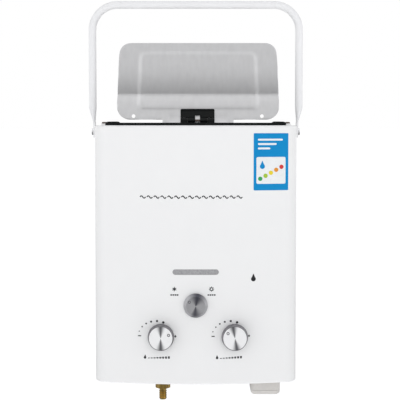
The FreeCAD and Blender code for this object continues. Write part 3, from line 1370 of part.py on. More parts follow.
def make_lid_blank(corners, holes):
    """The folded sheet, trimmed to an outline."""
    body = document.addObject("PartDesign::Body", "lid_sheet_blank")
    side_view = sketch_at_x(body)
    low = as_size(0)
    high = S.lid_height + S.lid_top_corner
    flat = -S.lid_wall_gap - S.lid_sheet
    outline(side_view, [
        (lid_front(low), TOP + low), (lid_front(low) + S.lid_sheet, TOP + low),
        (flat + S.lid_sheet, TOP + S.fold_height), (flat + S.lid_sheet, TOP + high),
        (flat, TOP + high), (flat, TOP + S.fold_height),
    ])
    blank = 2 * S.lid_foot_width
    pad(body, side_view, blank, both_ways=True)
    trim = sketch_at_y(body)
    rectangle(trim, as_size(0), TOP + high / 2, 1.5 * blank, 2 * high)
    outline(trim, corners)
    pocket(body, trim, both_ways=True)
    for x, z in holes:
        hole = sketch_at_y(body)
        circle(hole, x, z, S.lid_hole_radius)
        pocket(body, hole, both_ways=True)
    return body


def make_panel_half(label, rear, wide, narrow, fold, end, lean):
    """One half of the pressed panel, from the fold to its end, with a sloping border on three sides."""
    body = document.addObject("PartDesign::Body", label)
    middle = S.lid_offset
    up = 1 if float(end) > float(fold) else -1
    slope = S.panel_slope
    front = rear - S.panel_depth
    mitre = up * tangent(S.strip_lean / 2)
    outer = sketch_at_y(body, rear)
    back = sketch_at_y(body, rear)
    for sketch in (outer, back):
        outline(sketch, [(middle - wide, fold - rear * mitre), (middle + wide, fold - rear * mitre),
                         (middle + narrow, end, S.panel_corner), (middle - narrow, end, S.panel_corner)])
    inner = sketch_at_y(body, front)
    tight = S.panel_corner - slope
    outline(inner, [(middle - wide + slope, fold - front * mitre), (middle + wide - slope, fold - front * mitre),
                    (middle + narrow - slope, end - up * slope, tight),
                    (middle - narrow + slope, end - up * slope, tight)])
    loft(body, outer, inner)
    pad(body, back, S.lid_sheet / 2, backwards=True)
    if lean:
        body.Placement = Placement(Vector(0, -float(S.lid_wall_gap + S.lid_sheet), float(TOP + S.fold_height)),
                                   Rotation(Vector(1, 0, 0), -S.strip_lean.number))
    else:
        body.Placement = Placement(Vector(0, -float(S.lid_wall_gap + S.lid_sheet), 0), Rotation())
    return body


def make_lid_plate():
    middle = S.lid_offset
    foot = TOP + S.lid_foot_height
    fold = TOP + S.fold_height
    tab = TOP + S.tab_height
    right = [
        (middle + S.tab_width / 2, tab), (middle + S.tab_width / 2, foot),
        (middle + S.lid_foot_width / 2, foot, S.lid_foot_corner), (middle + S.lid_fold_width / 2, fold),
        (middle + S.lid_top_width / 2, TOP + S.lid_height, S.lid_top_corner),
    ]
    left = [(2 * middle - corner[0],) + corner[1:] for corner in reversed(right)]
    holes = [(middle + side * S.lid_hole_spacing / 2, TOP + S.lid_hole_height) for side in (-1, 1)]
    at_fold = (S.panel_top_width + S.panel_foot_width) / 4
    strip = (S.panel_foot_height - S.fold_height) / cosine(S.strip_lean)
    upper = (at_fold, S.panel_top_width / 2, fold, TOP + S.panel_top_height, False)
    lower = (at_fold, S.panel_foot_width / 2, as_size(0), strip, True)
    joined = document.addObject("Part::MultiFuse", "lid_with_panel")
    joined.Shapes = [make_lid_blank(right + left, holes), make_panel_half("panel_upper_front", as_size(0), *upper),
                     make_panel_half("panel_lower_front", as_size(0), *lower)]
    hollow = document.addObject("Part::MultiFuse", "lid_panel_hollow")
    hollow.Shapes = [make_panel_half("panel_upper_rear", S.lid_sheet, *upper),
                     make_panel_half("panel_lower_rear", S.lid_sheet, *lower)]
    lid = document.addObject("Part::Cut", "lid_plate")
    lid.Base = joined
    lid.Tool = hollow
    lid.Label = "lid_plate"
    pieces.append(lid)
    document.recompute()


# Lid hinge: a black leaf riveted to the lid and a black base on the casing, on one pin.
def make_lid_hinge():
    axis_y = -S.hinge_axis_depth
    axis_z = TOP + S.hinge_axis_height
    middle = S.lid_offset
    half = S.hinge_width / 2
    outer = half - S.knuckle_length
    clear = S.knuckle_radius + S.running_gap * 8
    leaf = new_body("lid_hinge_leaf")
    low = S.hinge_axis_height + clear
    high = S.hinge_height
    side_view = sketch_at_x(leaf, middle)
    thick = S.hinge_leaf_thickness
    foot = S.panel_foot_height
    rise = S.panel_slope * cosine(S.strip_lean) + S.panel_depth * sine(S.strip_lean)
    forward = S.panel_depth * cosine(S.strip_lean) - S.panel_slope * sine(S.strip_lean)
    seat = lid_front(foot) - (high - foot) * forward / rise
    outline(side_view, [
        (lid_front(low) - thick, TOP + low), (lid_front(low), TOP + low), (lid_front(foot), TOP + foot),
        (seat, TOP + high), (seat - thick, TOP + high), (lid_front(foot) - thick, TOP + foot),
    ])
    pad(leaf, side_view, S.hinge_width, both_ways=True)
    web_rear = lid_front(S.hinge_axis_height) - S.end_gap / 2
    web_depth = web_rear - axis_y
    web = sketch_at_x(leaf, middle)
    rectangle(web, axis_y + web_depth / 2, axis_z + clear / 2 + 0.5, web_depth, clear + 1)
    pad(leaf, web, 2 * (outer - S.end_gap), both_ways=True)
    roll = sketch_at_x(leaf, middle)
    circle(roll, axis_y, axis_z, S.knuckle_radius)
    pad(leaf, roll, 2 * (outer - S.end_gap), both_ways=True)
    gap = sketch_at_y(leaf)
    rectangle(gap, middle, axis_z, S.hinge_gap_width, 4 * S.knuckle_radius)
    pocket(leaf, gap, both_ways=True)
    bore = sketch_at_x(leaf, middle)
    circle(bore, axis_y, axis_z, S.hinge_pin_radius + S.running_gap)
    pocket(leaf, bore, both_ways=True)
    corner = float(TOP + high)
    round_edges(leaf, 2, lambda edge: edge.BoundBox.ZMin > corner - 1 and edge.BoundBox.XLength < 1e-3
                and edge.BoundBox.YLength > 1)
    base = new_body("lid_hinge_base")
    foot = sketch_at_z(base, TOP)
    rear = lid_front(S.tab_height) - 4 * S.end_gap
    rectangle(foot, middle, rear - S.hinge_foot_depth / 2, S.hinge_width, S.hinge_foot_depth)
    pad(base, foot, S.hinge_foot_height)
    arms = sketch_at_x(base, middle)
    arm_front = axis_y - S.knuckle_radius
    rectangle(arms, (arm_front + rear) / 2, (TOP + axis_z) / 2, rear - arm_front, S.hinge_axis_height)
    pad(base, arms, S.hinge_width, both_ways=True)
    knuckle = sketch_at_x(base, middle)
    circle(knuckle, axis_y, axis_z, S.knuckle_radius)
    pad(base, knuckle, S.hinge_width, both_ways=True)
    room = sketch_at_z(base, TOP + S.hinge_foot_height)
    rectangle(room, middle, axis_y, 2 * outer, 4 * S.hinge_foot_depth)
    pocket(base, room, 3 * S.hinge_axis_height, backwards=True)
    eye = sketch_at_x(base, middle)
    circle(eye, axis_y, axis_z, S.hinge_pin_radius + S.running_gap / 4)
    pocket(base, eye, both_ways=True)
    pin = new_body("lid_hinge_pin")
    rod = sketch_at_x(pin, middle)
    circle(rod, axis_y, axis_z, S.hinge_pin_radius)
    pad(pin, rod, S.hinge_width, both_ways=True)


def make_lid_rivets():
    body = new_body("lid_rivets")
    height = (S.hinge_axis_height + S.knuckle_radius + S.hinge_height) / 2
    sketch = sketch_at_z(body)
    for side in (-1, 1):
        circle(sketch, side * S.hinge_width / 4, as_size(0), S.rivet_radius)
    pad(body, sketch, S.rivet_height)
    top = float(S.rivet_height)
    round_edges(body, S.rivet_height / 2, lambda edge: edge.BoundBox.ZMin > top - 1e-3)
    place(body, S.lid_offset, lid_front(height) + S.lid_sheet, TOP + height, "back")
    body.Placement.Rotation = Rotation(Vector(1, 0, 0), -90 - S.strip_lean.number)


MANIFOLD_LINE = -FLUE_FRONT - S.manifold_gap - S.manifold_depth / 2
DIAPHRAGM = S.water_knob_offset - S.water_valve_radius - S.diaphragm_half
DOOR_TOP = BOTTOM - S.battery_drop + S.door_thickness
DOOR_SEAM = DOOR_TOP + S.door_rim
DOOR_AXIS = S.battery_depth - S.battery_front + S.door_barrel_radius + S.end_gap
LUG_SPAN = S.door_barrel_length + 2 * (S.end_gap + S.door_lug_length)
CAVITY_TOP = DOOR_TOP + S.cell_lift + S.cell_length + S.cell_button_height + S.contact_thickness
EAR_INNER = S.casing_width / 2 + S.washer_thickness + S.ear_play
ROUND_KNOB = (S.knob_radius, S.knob_top_radius, S.knob_length)
SEASON_KNOB = (S.season_radius, S.season_top_radius, S.season_length)

make_front_casing()
make_back_plate()
make_bottom_plate()
make_exhaust_surround()
make_corner_bumpers()
make_casing_screws()
make_burner_tray()
make_burner_blades()
make_combustion_chamber()
make_heat_exchanger_core()
make_return_bends()
make_flue_hood()
make_chamber_brackets()
make_sensor_ceramics()
make_sensor_rods()
make_cold_pipe()
make_hot_pipe()
make_gas_valve()
make_gas_solenoid()
make_gas_pipe()
make_gas_manifold()
make_gas_nozzles()
make_season_valve()
make_water_valve()
make_diaphragm_cover()
make_diaphragm_screws()
make_link_rod()
make_micro_switch()
make_gas_inlet()
make_water_connection("cold_inlet", S.water_knob_offset)
make_water_connection("hot_outlet", -HOT_PIPE)
make_drain_plug()
make_locknuts()
make_battery_box()
make_battery_door()
make_battery_door_pin()
make_battery_cells()
make_battery_contacts()
make_control_box()
make_window_lens()
make_knob("gas", -S.gas_knob_offset, S.knob_row, ROUND_KNOB, S.valve_front,
          (S.mark_distance, S.gas_mark_angle))
make_knob("water", S.water_knob_offset, S.knob_row, ROUND_KNOB, S.valve_front,
          (S.mark_distance, S.water_mark_angle))
make_knob("season", as_size(0), S.season_row, SEASON_KNOB, S.season_block_front,
          (S.season_mark_distance, S.season_mark_angle))
make_bail_handle()
make_bail_hardware()
make_lid_plate()
make_lid_hinge()
make_lid_rivets()

document.recompute()
for item in document.Objects:
    if "Invalid" in item.State or "Error" in item.State:
        raise RuntimeError(f"{item.Label} failed: {item.State}")

os.makedirs("parts", exist_ok=True)
for piece in pieces:
    shape = piece.Shape
    if shape.isNull() or not shape.isValid():
        raise RuntimeError(f"{piece.Label} has no valid shape")
    shape.exportStep(f"parts/{piece.Label}.step")
    print(f"{piece.Label}: {len(shape.Solids)} solids, {shape.Volume:.0f} cubic mm")
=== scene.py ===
import math

import bmesh
import bpy
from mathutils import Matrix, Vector
from mathutils.bvhtree import BVHTree
from mathutils.geometry import delaunay_2d_cdt
from mathutils.kdtree import KDTree


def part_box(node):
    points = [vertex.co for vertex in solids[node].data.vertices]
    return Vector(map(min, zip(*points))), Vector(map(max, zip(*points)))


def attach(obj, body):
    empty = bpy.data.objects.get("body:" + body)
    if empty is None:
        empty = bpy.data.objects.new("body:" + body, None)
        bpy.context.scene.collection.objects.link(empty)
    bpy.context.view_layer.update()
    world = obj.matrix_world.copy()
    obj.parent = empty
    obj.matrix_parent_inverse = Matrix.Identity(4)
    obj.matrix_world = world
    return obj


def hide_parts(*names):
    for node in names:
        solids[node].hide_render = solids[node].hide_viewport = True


# Portable propane water heater: white sheet-metal casing, bail handle and fold-down rain lid.
# Metres, in the frame of the solids: the origin is the middle of the back, the front faces -Y.

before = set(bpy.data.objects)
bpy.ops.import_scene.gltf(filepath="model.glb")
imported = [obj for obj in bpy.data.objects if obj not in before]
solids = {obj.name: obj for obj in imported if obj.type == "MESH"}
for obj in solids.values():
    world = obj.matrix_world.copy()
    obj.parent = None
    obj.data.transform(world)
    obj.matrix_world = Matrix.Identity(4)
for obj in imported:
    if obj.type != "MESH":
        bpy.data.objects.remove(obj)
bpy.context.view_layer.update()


# Chassis: back plate and bottom plate, folded from zinc-plated sheet steel.
# The casing hooks over them and is held by four small screws.

def finish(name, colour, shade, roughness, metallic=0.0, grain=60.0, stretch=(1, 1, 1), bump=0.1, coat=0.0,
           spread=0.12, shine=0.5):
    """A material whose colour wanders between two tones, with a fine grain in its gloss and its surface."""
    material = bpy.data.materials.new(name)
    material.use_nodes = True
    tree = material.node_tree
    shader = tree.nodes["Principled BSDF"]
    shader.inputs["Metallic"].default_value = metallic
    shader.inputs["Coat Weight"].default_value = coat
    shader.inputs["Specular IOR Level"].default_value = shine
    place = tree.nodes.new("ShaderNodeTexCoord")
    scale = tree.nodes.new("ShaderNodeMapping")
    scale.inputs["Scale"].default_value = stretch
    tree.links.new(place.outputs["Object"], scale.inputs["Vector"])

    def noise(size, detail):
        node = tree.nodes.new("ShaderNodeTexNoise")
        node.inputs["Scale"].default_value = size
        node.inputs["Detail"].default_value = detail
        tree.links.new(scale.outputs["Vector"], node.inputs["Vector"])
        return node.outputs["Fac"]

    tones = tree.nodes.new("ShaderNodeValToRGB")
    tones.color_ramp.elements[0].position = 0.3
    tones.color_ramp.elements[0].color = (*shade, 1)
    tones.color_ramp.elements[1].position = 0.7
    tones.color_ramp.elements[1].color = (*colour, 1)
    tree.links.new(noise(grain, 4), tones.inputs["Fac"])
    tree.links.new(tones.outputs["Color"], shader.inputs["Base Color"])
    gloss = tree.nodes.new("ShaderNodeMapRange")
    gloss.inputs["To Min"].default_value = max(roughness - spread, 0.02)
    gloss.inputs["To Max"].default_value = min(roughness + spread, 1)
    tree.links.new(noise(grain * 3, 3), gloss.inputs["Value"])
    tree.links.new(gloss.outputs["Result"], shader.inputs["Roughness"])
    relief = tree.nodes.new("ShaderNodeBump")
    relief.inputs["Strength"].default_value = bump
    relief.inputs["Distance"].default_value = 0.0002
    tree.links.new(noise(grain * 10, 3), relief.inputs["Height"])
    tree.links.new(relief.outputs["Normal"], shader.inputs["Normal"])
    return material


def dress(material, *names):
    for name in names:
        for slot in solids[name].material_slots:
            slot.material = material


zinc = finish("zinc plated sheet", (0.62, 0.64, 0.66), (0.5, 0.52, 0.55), 0.42, 0.9, grain=26, bump=0.05)
dress(zinc, "back_plate", "bottom_plate", "chamber_brackets")


# Burner: a steel tray with nine blade burners, fed by a cast manifold with brass nozzles.
# It stands under the copper chamber, whose finned core and hood carry the hot gas up to the outlet.

stainless = finish("stainless sheet", (0.72, 0.71, 0.7), (0.6, 0.59, 0.58), 0.3, 1.0, grain=40, stretch=(1, 1, 6))
scorched_copper = finish("copper darkened by heat", (0.68, 0.36, 0.22), (0.42, 0.2, 0.13), 0.38, 1.0, grain=34)
cast_alloy = finish("cast aluminium", (0.62, 0.63, 0.64), (0.5, 0.51, 0.52), 0.55, 0.9, grain=90, bump=0.35)
brass = finish("turned brass", (0.74, 0.5, 0.18), (0.6, 0.38, 0.12), 0.26, 1.0, grain=50, stretch=(1, 1, 9))
bright_steel = finish("bright steel", (0.7, 0.7, 0.71), (0.58, 0.58, 0.6), 0.28, 1.0, grain=70)
glazed_ceramic = finish("glazed ceramic", (0.86, 0.83, 0.76), (0.76, 0.73, 0.66), 0.2, coat=0.5, grain=80)
dress(stainless, "burner_tray", "burner_blades", "flue_hood")
dress(scorched_copper, "combustion_chamber", "heat_exchanger_core", "return_bends", "cold_pipe", "hot_pipe")
dress(cast_alloy, "gas_valve", "gas_pipe", "gas_manifold")
dress(brass, "gas_nozzles", "season_valve", "water_valve", "diaphragm_cover", "locknuts", "cold_inlet",
      "hot_outlet")
barb_brass = finish("ribbed brass", (0.78, 0.55, 0.17), (0.24, 0.14, 0.04), 0.2, 1.0, grain=34, stretch=(5, 5, 1))
dress(barb_brass, "gas_inlet")
dress(bright_steel, "diaphragm_screws", "link_rod", "sensor_rods", "gas_spindle", "water_spindle",
      "season_spindle", "battery_contacts", "battery_door_pin", "bail_nuts", "lid_rivets")
dress(glazed_ceramic, "sensor_ceramics")


# Casing: one drawn and folded steel shell with a bowed front, dipped in white enamel.
# The gloss is even, with a faint waviness, and the edges are rolled smooth.

enamel = finish("white enamel", (0.9, 0.9, 0.9), (0.89, 0.89, 0.892), 0.3, grain=30, bump=0.02, coat=0.25,
                spread=0.04)
dress(enamel, "front_casing")
casing = solids["front_casing"]


# Window: a strip of clear plastic clipped behind the slot, through which the flame is seen.
# Its inner face is frosted, so that it reads as an even grey from outside.

frosted = finish("frosted strip", (0.42, 0.42, 0.43), (0.3, 0.3, 0.31), 0.35, grain=420, bump=0.3, coat=0.4)
dress(frosted, "window_lens")


# Exhaust outlet: a stamped and slotted steel frame in black stove enamel, set into the casing's open top.
# A moulded rubber block with a domed top sits near each of its corners, for the closed lid to rest on.

stove_black = finish("black stove enamel", (0.008, 0.01, 0.01), (0.004, 0.005, 0.005), 0.5, grain=120, bump=0.2,
                     shine=0.12)
black_rubber = finish("black rubber", (0.01, 0.011, 0.011), (0.006, 0.007, 0.007), 0.7, grain=200, bump=0.3,
                      shine=0.1)
dress(stove_black, "exhaust_surround")
bumper_length, bumper_depth, bumper_foot, bumper_top = 0.0168, 0.0119, 0.1884, 0.1905
bumper_middles = [(side * 0.1211, depth) for side in (-1, 1) for depth in (-0.106, -0.04)]
bumper_rises, bumper_steps = (0, 0.25, 0.5, 0.72, 0.88, 0.97), 32
squareness, dome_share, flat_share = 0.45, 0.55, 0.3


def square_round(value):
    """A cosine or sine drawn out, so that it traces a square with round corners."""
    return math.copysign(abs(value) ** squareness, value)


bumpers = bmesh.new()
for x, y in bumper_middles:
    rings = []
    for rise in bumper_rises:
        taper = math.sqrt(1 - rise ** 2) * dome_share + (1 - dome_share) * (1 - rise)
        spread = flat_share + (1 - flat_share) * taper
        lifted = math.sin(rise * math.pi / 2) if rise < bumper_rises[-1] else 1
        level = bumper_foot + (bumper_top - bumper_foot) * lifted
        ring = []
        for k in range(bumper_steps):
            turn = 2 * math.pi * k / bumper_steps
            round_x = square_round(math.cos(turn)) * bumper_length / 2
            round_y = square_round(math.sin(turn)) * bumper_depth / 2
            ring.append(bumpers.verts.new((x + round_x * spread, y + round_y * spread, level)))
        rings.append(ring)
    for low, high in zip(rings, rings[1:]):
        for k in range(bumper_steps):
            after = (k + 1) % bumper_steps
            bumpers.faces.new((low[k], low[after], high[after], high[k]))
    bumpers.faces.new(rings[-1])
    bumpers.faces.new(reversed(rings[0]))
bumper_mesh = bpy.data.meshes.new("rubber_bumpers")
bumpers.to_mesh(bumper_mesh)
bumpers.free()
bumper_mesh.shade_smooth()
bumper_mesh.materials.append(black_rubber)
bumper_blocks = bpy.data.objects.new("rubber_bumpers", bumper_mesh)
bpy.context.collection.objects.link(bumper_blocks)
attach(bumper_blocks, "body")
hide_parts("corner_bumpers")
dress(black_rubber, "corner_bumpers")


# Rain lid: one sheet of brushed steel, folded across its width, with a panel pressed out of it, a shallow
# dished tab below, two pierced holes and edges rolled back. A black moulded block hinges it to the casing.

casing_top, lid_middle, lid_thickness = 0.185, 0.0032, 0.001
lid_corners = [(0.054, 0.0016, 0), (0.054, 0.0083, 0), (0.1236, 0.0083, 0.02), (0.1222, 0.0448, 0),
               (0.1184, 0.1238, 0.0175)]
panel_corners = [(0.095, 0.0208, 0.012), (0.0927, 0.0448, 0), (0.0905, 0.1132, 0.012)]
dish_corners = [(0.0454, 0.0042, 0.004), (0.0454, 0.016, 0.004)]
lid_fold, fold_bend = 0.0448, 0.002
panel_rise, panel_slope = 0.0016, 0.0085
dish_depth, dish_slope = 0.0004, 0.0028
roll_width, roll_depth = 0.0016, 0.00045
hole_places, hole_radius = [(-0.0975, 0.0135), (0.0965, 0.0135)], 0.0028


def whole_outline(right_half, inset):
    """Both halves of an outline, moved inwards. Each corner is across, height and corner radius."""
    corners = right_half + [(-x, z, radius) for x, z, radius in reversed(right_half)]
    moved = []
    for k, (x, z, radius) in enumerate(corners):
        here = Vector((x, z))
        arriving = (here - Vector(corners[k - 1][:2])).normalized()
        leaving = (Vector(corners[(k + 1) % len(corners)][:2]) - here).normalized()
        inward, inward_next = Vector((-arriving.y, arriving.x)), Vector((-leaving.y, leaving.x))
        spot = here + (inward + inward_next) * (inset / (1 + inward.dot(inward_next)))
        moved.append((spot.x, spot.y, max(radius - inset, 0)))
    return moved


def rounded_run(corners, pitch):
    """A closed run of points at about an even pitch, with arcs at the corners that have a radius."""
    run = []
    for k, (x, z, radius) in enumerate(corners):
        here = Vector((x, z))
        back = (Vector(corners[k - 1][:2]) - here).normalized()
        ahead = (Vector(corners[(k + 1) % len(corners)][:2]) - here).normalized()
        if radius < 1e-5:
            run.append(here)
            continue
        half = back.angle(ahead) / 2
        centre = here + (back + ahead).normalized() * (radius / math.sin(half))
        first = here + back * (radius / math.tan(half)) - centre
        sweep = (math.pi - 2 * half) * (1 if back.cross(ahead) < 0 else -1)
        steps = max(4, round(abs(sweep) * radius / pitch))
        for step in range(steps + 1):
            turn = sweep * step / steps
            run.append(centre + Vector((first.x * math.cos(turn) - first.y * math.sin(turn),
                                        first.x * math.sin(turn) + first.y * math.cos(turn))))
    even = []
    for first, last in zip(run, run[1:] + run[:1]):
        parts = max(1, round((last - first).length / pitch))
        even += [first.lerp(last, part / parts) for part in range(parts)]
    return even


def bent_slope(share):
    """From 0 to 1 along a straight slope with a short bend at each end."""
    share, bend = min(max(share, 0), 1), 0.3
    steep = 1 / (1 - bend)
    if share < bend:
        return steep * share ** 2 / (2 * bend)
    if share > 1 - bend:
        return 1 - steep * (1 - share) ** 2 / (2 * bend)
    return steep * (share - bend / 2)


def depth_inside(across, height, right_half):
    """How far a point of the sheet lies inside a pressed outline, with its rounded corners."""
    low, high = right_half[0], right_half[-1]
    half = low[0] + (high[0] - low[0]) * (height - low[1]) / (high[1] - low[1])
    side, end, radius = half - abs(across), min(height - low[1], high[1] - height), low[2]
    if side < radius and end < radius:
        return radius - math.hypot(radius - side, radius - end)
    return min(side, end)


# The sheet bows a little: its lean in degrees at each height above the casing, from the free edge down.
# Below 24 mm it lies flat against the hinge leaf that it is riveted to.
lid_leans = [(0.1238, 2.2), (0.09, 1.2), (lid_fold + fold_bend, -6), (lid_fold - fold_bend, 20), (0.036, 14.5),
             (0.024, 12), (0.0, 12)]
bow_step, bow_depths = 0.0001, [-0.00579]
for (high, lean), (low, next_lean) in zip(lid_leans, lid_leans[1:]):
    slices = round((high - low) / bow_step)
    for k in range(slices):
        angle = math.radians(lean + (next_lean - lean) * (k + 0.5) / slices)
        bow_depths.append(bow_depths[-1] - bow_step * math.tan(angle))

rim_points = rounded_run(whole_outline(lid_corners, 0), 0.0012)
rim_tree = KDTree(len(rim_points))
for k, point in enumerate(rim_points):
    rim_tree.insert((point.x, point.y, 0), k)
rim_tree.balance()


def lid_face(across, height):
    place = min(max((lid_leans[0][0] - height) / bow_step, 0), len(bow_depths) - 2)
    bow = bow_depths[int(place)] + (bow_depths[int(place) + 1] - bow_depths[int(place)]) * (place % 1)
    panel = panel_rise * bent_slope(depth_inside(across, height, panel_corners) / panel_slope)
    dish = dish_depth * bent_slope(depth_inside(across, height, dish_corners) / dish_slope)
    from_rim = rim_tree.find((across, height, 0))[2]
    return bow - panel + dish + roll_depth * max(1 - from_rim / roll_width, 0) ** 2


lid_points, lid_lines = [], []


def draw_line(points, closed=True):
    first = len(lid_points)
    lid_points.extend(points)
    last = len(lid_points) - 1
    lid_lines.extend((k, k + 1) for k in range(first, last))
    if closed:
        lid_lines.append((last, first))


line_pitch, dish_pitch, field_pitch, hole_steps, crease_half, crease_steps = 0.0025, 0.0015, 0.0035, 24, 0.123, 41
for inset in (0, roll_width / 2, roll_width):
    draw_line(rounded_run(whole_outline(lid_corners, inset), line_pitch))
for share in (0, 0.2, 0.5, 0.8, 1):
    draw_line(rounded_run(whole_outline(panel_corners, panel_slope * share), line_pitch))
for share in (0, 0.5, 1):
    draw_line(rounded_run(whole_outline(dish_corners, dish_slope * share), dish_pitch))
for place in hole_places:
    turn = [2 * math.pi * k / hole_steps for k in range(hole_steps)]
    draw_line([Vector(place) + hole_radius * Vector((math.cos(a), math.sin(a))) for a in turn])
for height in (lid_fold + fold_bend, lid_fold, lid_fold - fold_bend):
    crease = [Vector((crease_half * k / crease_steps, height)) for k in range(-crease_steps, crease_steps + 1)]
    draw_line(crease, closed=False)
near_line = KDTree(len(lid_points))
for k, point in enumerate(lid_points):
    near_line.insert((point.x, point.y, 0), k)
near_line.balance()
for column in range(-36, 37):
    for row in range(37):
        spot = Vector((column * field_pitch, row * field_pitch))
        if near_line.find((spot.x, spot.y, 0))[2] > field_pitch * 0.5:
            lid_points.append(spot)
flat_points, _, flat_faces, _, _, _ = delaunay_2d_cdt(lid_points, lid_lines, [], 1, 1e-7)
lid_faces = []
for face in flat_faces:
    heart = sum((flat_points[k] for k in face), Vector((0, 0))) / len(face)
    if all((heart - Vector(place)).length > hole_radius * 0.995 for place in hole_places):
        lid_faces.append(list(face))
sheet_count = len(flat_points)
lid_skin = []
for behind in (0, lid_thickness):
    for point in flat_points:
        lid_skin.append((lid_middle + point.x, lid_face(point.x, point.y) + behind, casing_top + point.y))
edge_faces = dict.fromkeys((a, b) for face in lid_faces for a, b in zip(face, face[1:] + face[:1]))
lid_rim = [(a, a + sheet_count, b + sheet_count, b) for a, b in edge_faces if (b, a) not in edge_faces]
lid_rear = [[k + sheet_count for k in reversed(face)] for face in lid_faces]
lid_mesh = bpy.data.meshes.new("rain_lid")
lid_mesh.from_pydata(lid_skin, [], lid_faces + lid_rear + lid_rim)
pierced = bmesh.new()
pierced.from_mesh(lid_mesh)
bmesh.ops.delete(pierced, geom=[v for v in pierced.verts if not v.link_faces], context="VERTS")
pierced.to_mesh(lid_mesh)
pierced.free()
lid_mesh.shade_smooth()
lid_mesh.set_sharp_from_angle(angle=math.radians(40))
lid_sheet = bpy.data.objects.new("rain_lid", lid_mesh)
bpy.context.collection.objects.link(lid_sheet)
brushed_sheet = finish("brushed lid sheet", (0.66, 0.66, 0.67), (0.62, 0.62, 0.63), 0.3, 0.92, grain=45,
                       stretch=(3, 3, 1.3), bump=0.03, spread=0.03)
lid_mesh.materials.append(brushed_sheet)
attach(lid_sheet, "lid")
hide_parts("lid_plate")
dress(brushed_sheet, "lid_plate")

black_moulding = finish("black moulded plastic", (0.008, 0.009, 0.009), (0.005, 0.006, 0.006), 0.45, grain=300,
                        bump=0.25, shine=0.15)
dress(black_moulding, "lid_hinge_leaf", "lid_hinge_base", "gas_solenoid", "micro_switch", "drain_plug",
      "control_box")


# Bail: a bent steel tube, flattened to an ear at each end and painted pale grey.
# Each ear turns on a screw with a nylon washer between it and the casing.

bail_paint = finish("pale grey paint", (0.89, 0.89, 0.9), (0.86, 0.86, 0.87), 0.34, grain=14, bump=0.05, coat=0.2)
nylon = finish("white nylon", (0.82, 0.82, 0.8), (0.76, 0.76, 0.74), 0.5, grain=120)
dress(bail_paint, "bail_handle")
dress(nylon, "bail_washers")
dress(bright_steel, "bail_screws")
browned_steel = finish("browned screw steel", (0.16, 0.12, 0.1), (0.09, 0.07, 0.06), 0.4, 0.8, grain=200)
dress(browned_steel, "casing_screws", "lid_hinge_pin")


# Knobs: moulded bodies in dark metallic plastic, each with a spun aluminium disc pressed into its front.
# They push onto the valve spindles.

knob_body = finish("metallic grey knob plastic", (0.25, 0.24, 0.26), (0.16, 0.155, 0.17), 0.35, 0.5, grain=160)
dress(knob_body, "gas_knob", "water_knob")
# Narrowness of the painted highlight on the season knob, and the density of the fine turned rings.
painted_highlight_narrowness, turned_rings = 14, 14000


def spun_with_painted_reflections(name, colour, shade, centre, wedge, turned, painted_highlight_strength=0, painted_highlight_angle=0, metallic=0.25):
    """Spun metal: painted reflection wedges, bright and dark, across the disc, a painted highlight at one side and
    fine turned rings.
    """
    material = bpy.data.materials.new(name)
    material.use_nodes = True
    tree = material.node_tree
    shader = tree.nodes["Principled BSDF"]
    shader.inputs["Metallic"].default_value = metallic
    shader.inputs["Roughness"].default_value = 0.34
    shader.inputs["Anisotropic"].default_value = 0.6
    place = tree.nodes.new("ShaderNodeTexCoord")
    centred = tree.nodes.new("ShaderNodeMapping")
    centred.inputs["Location"].default_value = (-centre[0], 0, -centre[1])
    tree.links.new(place.outputs["Object"], centred.inputs["Vector"])
    parts = tree.nodes.new("ShaderNodeSeparateXYZ")
    tree.links.new(centred.outputs["Vector"], parts.inputs["Vector"])

    def work(operation, first, second=None):
        node = tree.nodes.new("ShaderNodeMath")
        node.operation = operation
        for socket, value in zip(node.inputs, (first, second)):
            if value is None:
                continue
            if isinstance(value, (int, float)):
                socket.default_value = value
            else:
                tree.links.new(value, socket)
        return node.outputs["Value"]

    # Painted reflections: dark wedges where the metal would mirror a dark room, bright between them, and a painted
    # highlight at one side. All are fixed to the disc and turn with the knob.
    angle = work("ARCTAN2", parts.outputs["X"], parts.outputs["Z"])
    twice = work("MULTIPLY", work("SUBTRACT", angle, math.radians(turned)), 2)
    painted_wedge_shade = work("POWER", work("MULTIPLY", work("ADD", work("COSINE", twice), 1), 0.5), wedge)
    aside = work("COSINE", work("SUBTRACT", angle, math.radians(painted_highlight_angle)))
    painted_highlight = work("MULTIPLY", work("POWER", work("MAXIMUM", aside, 0), painted_highlight_narrowness), painted_highlight_strength)
    painted_wedge_shade = work("SUBTRACT", painted_wedge_shade, painted_highlight)
    across = work("SQRT", work("ADD", work("MULTIPLY", parts.outputs["X"], parts.outputs["X"]),
                               work("MULTIPLY", parts.outputs["Z"], parts.outputs["Z"])))
    rings = work("MULTIPLY", work("ADD", work("SINE", work("MULTIPLY", across, turned_rings)), 1), 0.5)
    tones = tree.nodes.new("ShaderNodeValToRGB")
    tones.color_ramp.elements[0].color = (*colour, 1)
    tones.color_ramp.elements[1].color = (*shade, 1)
    tree.links.new(painted_wedge_shade, tones.inputs["Fac"])
    tree.links.new(tones.outputs["Color"], shader.inputs["Base Color"])
    relief = tree.nodes.new("ShaderNodeBump")
    relief.inputs["Strength"].default_value = 0.15
    relief.inputs["Distance"].default_value = 0.0001
    tree.links.new(rings, relief.inputs["Height"])
    tree.links.new(relief.outputs["Normal"], shader.inputs["Normal"])
    return material


def middle(node):
    low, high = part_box(node)
    return (low.x + high.x) / 2, (low.z + high.z) / 2


